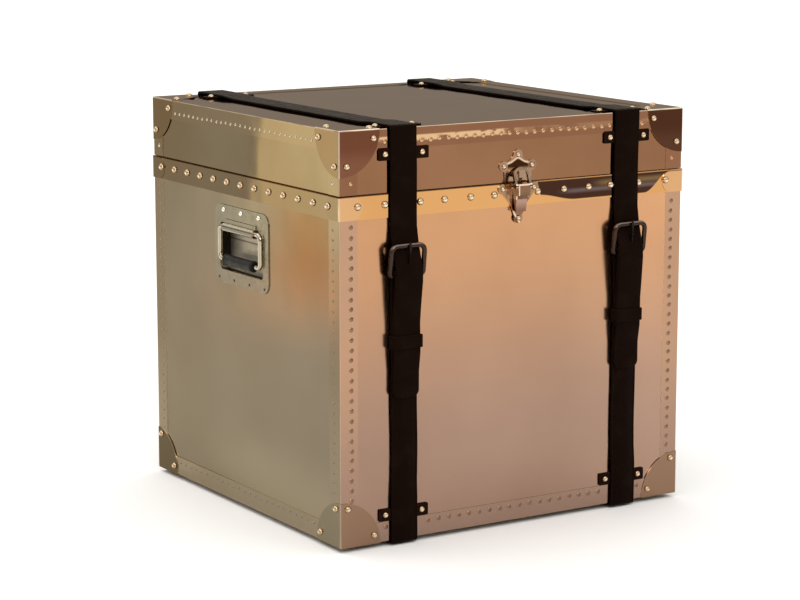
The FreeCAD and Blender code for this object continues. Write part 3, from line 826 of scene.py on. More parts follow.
@dataclass(frozen=True)
class HandlePan(Plated):
    """A handle's plate and pan, with painted light: highlights on the rims, shade on the end walls,
    a floor with painted reflections and two lines, and a sill with a highlight on its lip and shade behind
    it.
    """

    recess: Range = (0.001, 0.003)
    looking: Range = (0.7, 0.95)
    rim_tone: Colour = (0.50, 0.42, 0.30)
    end_tone: Colour = (0.035, 0.027, 0.018)
    # Painted reflections: streaky tones of the pan's floor.
    floor_tones: tuple[Colour, Colour] = ((0.34, 0.30, 0.235), (0.56, 0.51, 0.41))
    streaks: Colour = (1.0, 6.0, 110.0)
    line_strength: float = 0.75
    line_core: float = 0.4
    # Painted reflections: a dark and a pale line across the floor.
    lines: tuple[tuple[float, float, Colour], ...] = (
        (0.3735, 0.0016, (0.10, 0.08, 0.06)),
        (0.3640, 0.0060, (0.44, 0.40, 0.32)),
    )
    # Painted shade in the slot behind the sill, with a painted highlight on its lip.
    gloom: tuple[Range, Range] = ((0.0016, 0.0024), (0.0100, 0.0112))
    sill_tones: tuple[Colour, Colour] = ((0.66, 0.60, 0.48), (0.012, 0.008, 0.004))
    recess_haze: float = 0.32

    def inside(self, g: Graph) -> Socket:
        """One inside the recess."""
        near, far = self.recess
        return g.fall(g.size(g.spot[0]), CHEST.half_width - far, CHEST.half_width - near)

    def shaded(self, g: Graph, tone: Socket) -> Socket:
        """Adds the painted light on rims, end walls, floor and sill.

        Args:
            g: The material's graph.
            tone: The tone so far.

        Returns:
            The tone with the shades.
        """
        inside = self.inside(g)
        # Painted reflections on the floor.
        floor = g.mix(g.noise(1.0, 4.0, self.streaks), *self.floor_tones)
        for middle, tall, shade in self.lines:
            off = g.size(g.minus(g.spot[2], middle))
            share = g.remap(off, tall * self.line_core, tall, self.line_strength, 0.0)
            floor = g.mix(share, floor, shade)
        # Painted highlight on the rims and painted shade on the end walls.
        ends = g.mix(inside, self.rim_tone, self.end_tone)
        tone = g.mix(g.rise(g.size(g.facing[1]), *self.looking), g.mix(inside, tone, floor), ends)
        # Painted highlight on the sill's lip and painted shade in the slot.
        deep = g.minus(CHEST.half_width, g.size(g.spot[0]))
        sill = g.mix(g.between(deep, *self.gloom), *self.sill_tones)
        return g.mix(g.rise(g.facing[2], *self.looking), tone, sill)

    def dulled(self, g: Graph, rough: Socket) -> Socket:
        """The roughness, higher in the recess."""
        return g.plus(rough, g.times(self.inside(g), self.recess_haze))


@dataclass(frozen=True)
class Leather:
    """Waxed strap leather with pebbled grain, pores, rubbed places, and dust with painted sheen where it
    looks up.
    """

    name: str
    tone: Colour
    rubbed: Colour
    roughness: float
    # Dust and painted sheen: the tone that faces looking up take.
    dust: Colour = (0.016, 0.011, 0.006)
    pore: Colour = (0.004, 0.003, 0.003)
    gleam: Colour = (1.0, 0.76, 0.50)
    fuzz: Colour = (1.0, 0.72, 0.40)
    rubs: Mottle = Mottle(38.0, 6.0, 0.45, 0.8)
    rub_strength: float = 0.8
    dusting: Mottle = Mottle(90.0, 5.0, 0.25, 0.6)
    dust_least: float = 0.6
    upward: Range = (0.6, 0.95)
    smears: Mottle = Mottle(120.0, 5.0, 0.25, 0.75)
    haze: float = 0.1
    pore_scale: float = 950.0
    pore_fade: tuple[float, ...] = (0.0, 0.35, 0.6, 0.0)
    pore_relief: Point2 = (0.3, 0.0002)
    fold_scale: float = 30.0
    fold_relief: Point2 = (0.25, 0.0015)
    pebble_scale: float = 420.0
    pebble_relief: Point2 = (0.35, 0.0005)
    shine: float = 0.018
    fuzziness: float = 0.010

    def material(self) -> Material:
        """Builds the material.

        Returns:
            The material.
        """
        g = Graph(self.name)
        pores = g.cells(self.pore_scale)
        tone = g.mix(g.mottle(self.rubs, 0.0, self.rub_strength), self.tone, self.rubbed)
        tone = g.mix(g.remap(pores, *self.pore_fade), tone, self.pore)
        # Dust and painted sheen on faces that look up.
        dusty = g.times(g.rise(g.facing[2], *self.upward), g.mottle(self.dusting, self.dust_least))
        tone = g.mix(dusty, tone, self.dust)
        rough = g.mottle(self.smears, self.roughness - self.haze, self.roughness + self.haze)
        normal = g.bump(g.noise(self.fold_scale), *self.fold_relief)
        normal = g.bump(g.cells(self.pebble_scale), *self.pebble_relief, normal)
        normal = g.bump(pores, *self.pore_relief, normal)
        return g.finish(Base_Color=tone, Roughness=rough, Normal=normal, Specular_IOR_Level=self.shine,
                        Specular_Tint=self.gleam, Sheen_Weight=self.fuzziness, Sheen_Tint=self.fuzz)


@dataclass(frozen=True)
class Rubber:
    """Black moulded rubber with a fine stipple and dust in it."""

    name: str
    tone: Colour
    dusty: Colour
    dust: Mottle = Mottle(70.0, 6.0, 0.45, 0.8)
    dust_strength: float = 0.6
    smears: Mottle = Mottle(160.0, 3.0, 0.3, 0.7)
    roughness: Range = (0.42, 0.6)
    stipple_scale: float = 1100.0
    stipple_relief: Point2 = (0.35, 0.0003)
    shine: float = 0.16

    def material(self) -> Material:
        """Builds the material.

        Returns:
            The material.
        """
        g = Graph(self.name)
        tone = g.mix(g.mottle(self.dust, 0.0, self.dust_strength), self.tone, self.dusty)
        rough = g.mottle(self.smears, *self.roughness)
        normal = g.bump(g.cells(self.stipple_scale), *self.stipple_relief)
        return g.finish(Base_Color=tone, Roughness=rough, Normal=normal, Specular_IOR_Level=self.shine)


@dataclass(frozen=True)
class Plywood:
    """Birch plywood: long grain on the faces, glue lines on the cut edges."""

    name: str
    pale: Colour
    dark: Colour
    line: Colour
    layer: float = 0.0018
    board: float = 0.011
    blur: float = 0.001
    ring_stretches: tuple[Colour, Colour] = ((5.0, 5.0, 90.0), (5.0, 60.0, 5.0))
    ring_detail: float = 6.0
    ring_span: Range = (0.32, 0.7)
    fibre_stretches: tuple[Colour, Colour] = ((60.0, 60.0, 1400.0), (60.0, 1000.0, 60.0))
    fibre_detail: float = 4.0
    fibre_fade: tuple[float, ...] = (0.5, 0.75, 0.0, 0.35)
    fibre_relief: Point2 = (0.2, 0.0004)
    lying: Range = (0.6, 0.9)
    glue_span: Range = (-0.2, 0.5)
    glue_strength: float = 0.75
    roughness: tuple[float, ...] = (0.2, 0.8, 0.5, 0.68)

    def material(self) -> Material:
        """Builds the material.

        Returns:
            The material.
        """
        g = Graph(self.name)
        level = g.rise(g.size(g.facing[2]), *self.lying)
        rings, fibre = (
            g.mix(level, *(g.noise(1.0, detail, stretch) for stretch in stretches))
            for detail, stretches in (
                (self.ring_detail, self.ring_stretches), (self.fibre_detail, self.fibre_stretches),
            )
        )
        tone = g.mix(g.rise(rings, *self.ring_span), self.pale, self.dark)
        tone = g.mix(g.remap(fibre, *self.fibre_fade), tone, self.line)
        reaches = (CHEST.half_width, CHEST.half_depth)
        depth = g.most(*(g.minus(g.size(part), reach) for part, reach in zip(g.spot, reaches)))
        wave = g.math("SINE", g.times(depth, math.pi / self.layer))
        edge = g.times(level, g.remap(depth, -self.board - self.blur, -self.board, 0.0, self.glue_strength))
        tone = g.mix(g.times(edge, g.rise(wave, *self.glue_span)), tone, self.line)
        rough = g.remap(rings, *self.roughness)
        return g.finish(Base_Color=tone, Roughness=rough, Normal=g.bump(fibre, *self.fibre_relief))


class Finish(Enum):
    """Every finish of the chest."""

    # Painted light: the sheet, strip, cap, band and wrap finishes are lit and shaded copies of one metal,
    # with tones per face, one copy for the lid and one for the base.
    BASE_SHEET = SheetMetal(
        "base_sheet", ((0.340, 0.220, 0.162), (0.560, 0.296, 0.148)),
        ((0.237, 0.209, 0.156), (0.205, 0.181, 0.136)),
        (0.32, 0.24, 0.17), 0.20, mark=GlowMark(), right_shade=1.15, right_from=0.08)
    LID_SHEET = SheetMetal(
        "lid_sheet", ((0.272, 0.136, 0.070),) * 2, ((0.173, 0.146, 0.101),) * 2,
        (0.315, 0.214, 0.143), 0.055, cloud=0.25, right_shade=0.95)
    EDGE = SheetMetal(
        "edge_strip", ((0.330, 0.217, 0.165), (0.450, 0.272, 0.172)),
        ((0.305, 0.262, 0.193), (0.22, 0.183, 0.130)),
        (0.34, 0.26, 0.19), 0.16, rubbed=0.4, cut_edge=(1.0, 0.95, 0.86), low=0.02, high=0.28)
    LID_EDGE = SheetMetal(
        "lid_edge_strip", ((0.225, 0.106, 0.056),) * 2, ((0.178, 0.146, 0.100),) * 2,
        (0.315, 0.214, 0.143), 0.06, right_shade=1.12, right_from=0.15, mark=RidgeMark())
    BASE_CAP = SheetMetal(
        "base_cap", ((0.270, 0.165, 0.106),) * 2, ((0.126, 0.113, 0.081),) * 2,
        (0.25, 0.18, 0.13), 0.07, rubbed=0.22, near_side=1.9)
    LID_CAP = SheetMetal(
        "lid_cap", ((0.185, 0.078, 0.044), (0.140, 0.053, 0.028)), ((0.146, 0.111, 0.073),) * 2,
        (0.30, 0.21, 0.15), 0.06, right_shade=0.46, low=0.505, high=0.532)
    BAND = SheetMetal(
        "rim_band", ((0.615, 0.325, 0.123),) * 2, ((0.154, 0.125, 0.086),) * 2,
        (0.60, 0.34, 0.15), 0.06, mark=LensMark())
    WRAP = SheetMetal(
        "rim_wrap", ((0.610, 0.348, 0.165),) * 2, ((0.146, 0.118, 0.082),) * 2,
        (0.60, 0.36, 0.18), 0.06, rubbed=0.5, mark=LensMark())
    # Painted light: NAIL, LID_FRONT_NAIL, SIDE_NAIL and LID_NAIL are lit and shaded copies of one nail;
    # LID_FRONT_NAIL's bright tones are painted highlights.
    NAIL = Plated("nail", (0.265, 0.148, 0.092), (0.175, 0.092, 0.055), (0.36, 0.225, 0.14), 0.3)
    LID_FRONT_NAIL = Plated(
        "lid_front_nail", (0.60, 0.36, 0.19), (0.38, 0.21, 0.11), (0.42, 0.23, 0.13), 0.2, 0.3)
    SIDE_NAIL = Plated("side_nail", (0.235, 0.200, 0.145), (0.18, 0.15, 0.105), (0.26, 0.22, 0.16), 0.2, 0.3)
    LID_NAIL = Plated("lid_side_nail", (0.60, 0.50, 0.35), (0.38, 0.31, 0.21), (0.45, 0.37, 0.26), 0.16, 0.3)
    # Painted highlight: PAN_RIVET is a brighter copy of the rivet finish.
    PAN_RIVET = Plated("pan_rivet", (0.97, 0.93, 0.84), (0.70, 0.64, 0.54), (0.80, 0.74, 0.62), 0.14, 0.1)
    RIVET = Plated("rivet", (0.80, 0.67, 0.49), (0.46, 0.36, 0.24), (0.44, 0.30, 0.17), 0.12, 0.25, 0.1)
    # Painted highlight: the latch finishes' turned tones are bright edge highlights.
    LATCH = Plated("latch_metal", (0.24, 0.145, 0.085), (0.08, 0.04, 0.02), (0.95, 0.78, 0.58), 0.12, 0.8)
    LATCH_BASE = LatchBasePlate(
        "latch_base_plate", (0.34, 0.205, 0.122), (0.11, 0.055, 0.028), (0.80, 0.62, 0.44), 0.12, 0.7)
    LATCH_LID = LatchLidPlate(
        "latch_lid_plate", (0.34, 0.210, 0.130), (0.11, 0.055, 0.028), (0.80, 0.62, 0.44), 0.16, 0.7)
    LEVER = LatchLever("latch_lever", (0.21, 0.12, 0.07), (0.08, 0.04, 0.02), (0.92, 0.76, 0.56), 0.12, 0.6)
    HANDLE = HandlePan(
        "handle_plate", (0.166, 0.151, 0.103), (0.112, 0.098, 0.065), (0.46, 0.40, 0.29), 0.22, 0.35, 0.08)
    BAIL = Plated("handle_wire", (0.50, 0.44, 0.33), (0.24, 0.20, 0.14), (0.40, 0.34, 0.25), 0.12, 0.3, 0.1)
    BRONZE = BuckleBronze(
        "buckle_bronze", (0.085, 0.056, 0.043), (0.046, 0.029, 0.022), (0.19, 0.15, 0.13), 0.26)
    PRONG = BuckleBronze(
        "prong_bronze", (0.030, 0.019, 0.014), (0.024, 0.015, 0.011), (0.09, 0.07, 0.06), 0.30, waxed=0.388)
    STEEL = Plated("hinge_steel", (0.52, 0.43, 0.32), (0.25, 0.19, 0.13), (0.60, 0.50, 0.38), 0.24)
    STRAP = Leather("strap_leather", (0.0054, 0.0021, 0.0015), (0.0090, 0.0042, 0.0029), 0.46)
    TAB = Leather("tab_leather", (0.0110, 0.0038, 0.0026), (0.020, 0.0085, 0.0060), 0.5)
    GRIP = Rubber("grip_rubber", (0.0105, 0.0090, 0.0065), (0.026, 0.023, 0.017))
    FOOT = Rubber("foot_rubber", (0.02, 0.02, 0.02), (0.06, 0.058, 0.055))
    WOOD = Plywood("plywood", (0.62, 0.45, 0.28), (0.47, 0.31, 0.17), (0.26, 0.16, 0.08))


MADE: dict[Finish, Material] = {}


def made(finish: Finish) -> Material:
    """Gives the material of a finish, built once.

    Args:
        finish: The finish.

    Returns:
        The material.
    """
    if finish not in MADE:
        MADE[finish] = finish.value.material()
    return MADE[finish]


def smooth(piece: Piece, angle: float = 38.0) -> None:
    """Shades a piece smoothly, apart from edges sharper than an angle in degrees."""
    piece.data.shade_smooth()
    piece.data.set_sharp_from_angle(angle=math.radians(angle))


def new_piece(name: str, verts: Sequence[Vector], faces: Sequence[tuple[int, ...]], finish: Finish,
              slot: str) -> Piece:
    """Makes a mesh piece.

    Args:
        name: The piece's name.
        verts: Its points.
        faces: The points of each face.
        finish: Its finish.
        slot: The record's material slot; not used.

    Returns:
        The piece, in place, not yet on a body.
    """
    mesh = bpy.data.meshes.new(name)
    mesh.from_pydata([tuple(v) for v in verts], [], faces)
    tidy = bmesh.new()
    tidy.from_mesh(mesh)
    bmesh.ops.recalc_face_normals(tidy, faces=tidy.faces)
    tidy.to_mesh(mesh)
    tidy.free()
    mesh.materials.append(made(finish))
    piece = bpy.data.objects.new(name, mesh)
    bpy.context.scene.collection.objects.link(piece)
    smooth(piece)
    return piece


def dress_node(name: str, finish: Finish, sharp: float = 32.0) -> None:
    """Gives a node of the frame its finish.

    Args:
        name: The node's name.
        finish: The finish.
        sharp: Angle in degrees from which an edge stays sharp.
    """
    node = frame["nodes"][name]
    node.data.materials.clear()
    node.data.materials.append(made(finish))
    smooth(node, sharp)


def ease_edges(name: str, width: float, sharp: float = 40.0) -> None:
    """Rounds the sharp edges of a node of the frame a little.

    Args:
        name: The node's name.
        width: Width of the rounding.
        sharp: Angle in degrees from which an edge counts as sharp.
    """
    bevel = frame["nodes"][name].modifiers.new("edge", "BEVEL")
    bevel.width, bevel.segments, bevel.angle_limit = width, 2, math.radians(sharp)
    bevel.harden_normals = True


def rounded_path(corners: Sequence[Corner], step: float, arc_step: float = 12.0,
                 least: float = 1e-6) -> list[Point2]:
    """Points along straight runs and tangent arcs.

    Args:
        corners: (u, v, radius) of each corner.
        step: Longest distance between points on a run.
        arc_step: Largest turn between points on an arc, in degrees.
        least: Distance within which two points are one.

    Returns:
        The points.
    """
    points = [Vector((u, v)) for u, v, _ in corners]
    nodes = [points[0]]
    for before, here, after, corner in zip(points, points[1:], points[2:], corners[1:]):
        into, out = (here - before).normalized(), (after - here).normalized()
        turn = into.angle_signed(out)
        reach = corner[2] * math.tan(abs(turn) / 2)
        side = Vector((into.y, -into.x)) * math.copysign(1, turn)
        centre = here - into * reach + side * corner[2]
        spoke = -side * corner[2]
        count = max(2, math.ceil(abs(turn) / math.radians(arc_step)))
        for k in range(count + 1):
            swing = turn * k / count
            c, s = math.cos(-swing), math.sin(-swing)
            nodes.append(centre + Vector((spoke.x * c - spoke.y * s, spoke.x * s + spoke.y * c)))
    nodes.append(points[-1])
    path = [nodes[0]]
    for node in nodes[1:]:
        start = path[-1]
        gap = (node - start).length
        count = max(1, math.ceil(gap / step))
        if gap > least:
            path += [start.lerp(node, k / count) for k in range(1, count + 1)]
    return [tuple(p) for p in path]


@dataclass(frozen=True)
class StripSection:
    """The cross-section of a leather strip: rounded edges, and a crease near each on the outer face."""

    width: float
    thickness: float
    edge: float = 0.0011
    crease: float = 0.0032
    groove: float = 0.00028
    mouth: float = 0.0009
    bed: float = 0.0004
    crown: float = 0.00012
    edge_steps: int = 4

    def points(self) -> list[Point2]:
        """The section as (across, out) points, once round.

        Returns:
            The points.
        """
        half, deep = self.width / 2, self.thickness / 2
        line = half - self.crease
        outer = [
            (line - self.mouth, deep),
            (line - self.bed, deep - self.groove),
            (line + self.bed, deep - self.groove),
            (line + self.mouth, deep),
        ]
        right = []
        for k in range(self.edge_steps + 1):
            turn = math.pi / 2 * k / self.edge_steps
            across = half - self.edge + self.edge * math.sin(turn)
            right.append((across, deep - self.edge + self.edge * math.cos(turn)))
        lower = [(a, -o) for a, o in reversed(right)]
        one = [(0.0, deep + self.crown)] + outer + right + lower + [(0.0, -deep)]
        return one + [(-a, o) for a, o in reversed(one[1:-1])]


def with_tip(path: Sequence[Point2], radius: float, steps: int = 6, clear: float = 1.05) -> list[Point2]:
    """Adds points near a path's last end, close enough together for rounded corners there.

    Args:
        path: The path's points.
        radius: Radius of the corners.
        steps: Points on each corner.
        clear: Share of the radius within which the path's own points go.

    Returns:
        The new points.
    """
    end = Vector(path[-1])
    back = (Vector(path[-2]) - end).normalized()
    turns = [math.pi / 2 * k / steps for k in range(steps, 0, -1)]
    near = [tuple(end + back * radius * (1 - math.cos(turn))) for turn in turns]
    return [p for p in path if (Vector(p) - end).length > radius * clear] + near + [tuple(end)]


def sweep(path: Sequence[Point2], section: Sequence[Point2], place: Placing, closed: bool = False,
          corner: float = 0.0, both: bool = False) -> Shape:
    """Carries a section along a flat path.

    Args:
        path: Points of the path.
        section: (across, out) points of the section.
        place: Gives the point in the frame for (u, v, across).
        closed: Whether the path meets itself.
        corner: Radius of the corners at the path's last end.
        both: Whether the first end has such corners too.

    Returns:
        The points and the faces.
    """
    verts, faces = [], []
    points = [Vector(p) for p in path]
    count, size = len(points), len(section)
    gone = [0.0]
    for before, here in zip(points, points[1:]):
        gone.append(gone[-1] + (here - before).length)
    half = max(a for a, _ in section)
    for k, here in enumerate(points):
        before = points[k - 1] if k or closed else here
        after = points[(k + 1) % count] if k + 1 < count or closed else here
        along = (after - before).normalized()
        out = Vector((along.y, -along.x))
        near = min(gone[-1] - gone[k], gone[k] if both else math.inf)
        inset = 0.0
        if near < corner:
            inset = corner - math.sqrt(max(0.0, corner ** 2 - (corner - near) ** 2))
        share = (half - inset) / half
        for across, rise in section:
            spot = here + out * rise
            verts.append(place(spot.x, spot.y, across * share))
    for k in range(count if closed else count - 1):
        first, second = k * size, (k + 1) % count * size
        for j in range(size):
            faces.append((first + j, first + (j + 1) % size, second + (j + 1) % size, second + j))
    if not closed:
        faces += [tuple(range(size)), tuple(reversed(range((count - 1) * size, count * size)))]
    return verts, faces


@dataclass
class Studs:
    """Dome-headed nails or rivets of one body, joined in one piece."""

    name: str
    body: str
    finish: Finish
    slot: str
    segments: int = 14
    rings: int = 4
    root: float = 0.0003
    verts: list[Vector] = field(default_factory=list)
    faces: list[tuple[int, ...]] = field(default_factory=list)

    def dome(self, centre: Vector, normal: Vector, radius: float, height: float) -> None:
        """Adds one head.

        Args:
            centre: The middle of its seat.
            normal: The way that it looks.
            radius: Its radius.
            height: Its height.
        """
        turn = normal.to_track_quat("Z", "Y")
        start, n = len(self.verts), self.segments
        lift = [(1.0, -self.root)]
        for k in range(self.rings):
            slant = math.pi / 2 * k / self.rings
            lift.append((math.cos(slant), height * math.sin(slant)))
        for share, rise in lift:
            for j in range(n):
                angle = 2 * math.pi * j / n
                spot = Vector((radius * share * math.cos(angle), radius * share * math.sin(angle), rise))
                self.verts.append(centre + turn @ spot)
        self.verts.append(centre + normal * height)
        for k in range(len(lift) - 1):
            for j in range(n):
                a, b = start + k * n + j, start + k * n + (j + 1) % n
                self.faces.append((a, b, b + n, a + n))
        last = start + (len(lift) - 1) * n
        self.faces += [(last + j, last + (j + 1) % n, len(self.verts) - 1) for j in range(n)]

    def on_wall(self, wall: Wall, out: float, places: Sequence[Point2], head: Point2) -> "Studs":
        """Adds a row of heads on a wall.

        Args:
            wall: The wall.
            out: Distance of their seats from the metal skin.
            places: (across, level) of each.
            head: Radius and height.

        Returns:
            The studs.
        """
        for across, level in places:
            self.dome(wall.at(across, out, level), wall.normal, *head)
        return self

    def build(self) -> Piece:
        """Makes the piece and puts it on its body."""
        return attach(new_piece(self.name, self.verts, self.faces, self.finish, self.slot), self.body)


@dataclass
class Cladding:
    """Sheet, strips, caps and bands of base and lid, with their nails and rivets."""

    seed: int = 7
    nail_radius: float = 0.0034
    side_nail_radius: float = 0.0019
    lid_nail_radius: float = 0.0023
    lone_radius: float = 0.0030
    nail_height: float = 0.0011
    strap_clear: float = 0.0232
    nail_inset: float = 0.0160
    nail_pitch: float = 0.0133
    row_start: float = 0.061
    row_end: float = 0.038
    row_inset: float = 0.068
    right_lag: float = 0.0040
    foot_pitch: float = 0.0160
    foot_row: float = 0.0265
    lid_row: float = 0.5345
    lid_lone: float = 0.4840
    upright_scatter: Range = (0.0005, 0.0008)
    level_scatter: Range = (0.0006, 0.0007)
    rivet_radius: float = 0.0051
    rivet_height: float = 0.0039
    cap_rivet: float = 0.0047
    cap_near: float = 0.0105
    cap_far: float = 0.0505
    lid_cap_drop: float = 0.0445
    top_flat: float = 0.8
    band_level: float = 0.4542
    wrap_reach: float = 0.033
    hinge_clear: Range = (0.055, 0.13)
    front_rivets: tuple[float, ...] = (
        -0.2488, -0.2074, -0.1535, -0.116, -0.075, -0.0377, 0.032, 0.075, 0.116, 0.153, 0.2003, 0.2465,
    )
    side_pitch: float = 0.0391
    side_count: int = 6
    ease: float = 0.0004
    eased: tuple[str, ...] = (
        "rim_bands", "rim_corner_wraps", "lid_edge_trims", "lid_corner_trims", "base_corner_trims",
        "base_foot_trims", "lid_corner_caps", "base_corner_caps",
    )

    def nails(self) -> None:
        """Sets the small nails along the strips, each a little off its line."""
        random = Random(self.seed)
        # Painted light: each group takes its own lit or shaded copy of the nail finish.
        groups = {
            key: Studs("_".join((*key, "nails")), key[0], finish, "edge_metal", segments=10)
            for key, finish in (
                (("base", "front"), Finish.NAIL), (("lid", "front"), Finish.LID_FRONT_NAIL),
                (("base", "side"), Finish.SIDE_NAIL), (("lid", "side"), Finish.LID_NAIL),
            )
        }

        def near(wall: Wall, across: float, level: float, scatter: Range) -> Vector:
            """A seat on a wall, a little off its place."""
            aside = across + random.uniform(-scatter[0], scatter[0])
            return wall.at(aside, CHEST.trim, level + random.uniform(-scatter[1], scatter[1]))

        for wall in Wall:
            strapped = wall in (Wall.FRONT, Wall.BACK)
            base, lid = (groups[body, "front" if strapped else "side"] for body in ("base", "lid"))
            radius = self.nail_radius if strapped else self.side_nail_radius
            lid_radius = self.nail_radius if strapped else self.lid_nail_radius
            edge = wall.half_span - self.nail_inset
            low, high = CHEST.foot + self.row_start, CHEST.rim - self.row_end
            for k in range(int((high - low) / self.nail_pitch) + 1):
                for side, start in ((-edge, low), (edge, low - self.right_lag)):
                    spot = near(wall, side, start + k * self.nail_pitch, self.upright_scatter)
                    base.dome(spot, wall.normal, radius, self.nail_height)
            lone = [(side, self.lid_lone) for side in (-edge, edge)]
            lid.on_wall(wall, CHEST.trim, lone, (self.lone_radius, self.nail_height))
            reach = wall.half_span - self.row_inset
            for group, size, pitch, level in (
                (base, radius, self.foot_pitch, self.foot_row),
                (lid, lid_radius, self.nail_pitch, self.lid_row),
            ):
                count = int(2 * reach / pitch)
                for k in range(count + 1):
                    across = -reach + 2 * reach * k / count
                    if not strapped or abs(abs(across) - CHEST.strap_offset) > self.strap_clear:
                        spot = near(wall, across, level, self.level_scatter)
                        group.dome(spot, wall.normal, size, self.nail_height)
        for group in groups.values():
            group.build()

    def cap_rivets(self) -> None:
        """Sets two rivets in each face of a corner cap."""
        base = Studs("base_cap_rivets", "base", Finish.RIVET, "cap_metal")
        lid = Studs("lid_cap_rivets", "lid", Finish.RIVET, "cap_metal")
        head = (self.cap_rivet, self.rivet_height)
        places = ((self.cap_near, self.cap_far), (self.cap_far, self.cap_near))
        for wall in Wall:
            for side in (-1, 1):
                for a, b in places:
                    across = side * (wall.half_span + CHEST.trim - a)
                    high = CHEST.lid_top - min(b, self.lid_cap_drop)
                    base.on_wall(wall, CHEST.cap_face, [(across, CHEST.foot + b)], head)
                    lid.on_wall(wall, CHEST.cap_face, [(across, high)], head)
        top = CHEST.lid_top + CHEST.cap_face
        for x in (-1, 1):
            for y in (-1, 1):
                for a, b in places:
                    spot = Vector((x * (CHEST.half_width - a), y * (CHEST.half_depth - b), top))
                    lid.dome(spot, UP, self.cap_rivet, self.rivet_height * self.top_flat)
        base.build()
        lid.build()

    def band_rivets(self) -> None:
        """Sets the row of rivets round the rim, clear of the hinges at the back."""
        group = Studs("band_rivets", "base", Finish.RIVET, "band_metal", segments=16, rings=5)
        sides = [k * self.side_pitch for k in range(-self.side_count, self.side_count + 1)]
        near, far = self.hinge_clear
        back = [x for x in self.front_rivets if not near < abs(x) < far]
        rows = {Wall.FRONT: self.front_rivets, Wall.BACK: back, Wall.LEFT: sides, Wall.RIGHT: sides}
        for wall, row in rows.items():
            for across in row:
                out = CHEST.wrap_face if wall.half_span - abs(across) < self.wrap_reach else CHEST.band
                group.on_wall(wall, out, [(across, self.band_level)], (self.rivet_radius, self.rivet_height))
        group.build()

    def dress(self) -> None:
        """Gives every sheet, strip, cap and band its finish."""
        sheets = {
            "clad_front": (Finish.BASE_SHEET, Finish.LID_SHEET),
            "clad_side": (Finish.BASE_SHEET, Finish.LID_SHEET),
            "clad_top": (Finish.LID_SHEET,) * 2,
            "edge_metal": (Finish.EDGE, Finish.LID_EDGE),
            "cap_metal": (Finish.BASE_CAP, Finish.LID_CAP),
            "band_metal": (Finish.BAND,) * 2,
        }
        for row in frame["record"]["subparts"]:
            if row["material_slot"] in sheets:
                finish = sheets[row["material_slot"]][row["node"].startswith("lid_")]
                dress_node(row["node"], Finish.WRAP if row["node"] == "rim_corner_wraps" else finish)
        for name in self.eased:
            ease_edges(name, self.ease)

    def build(self) -> None:
        """Dresses the cladding and sets its fasteners."""
        self.dress()
        self.nails()
        self.cap_rivets()
        self.band_rivets()


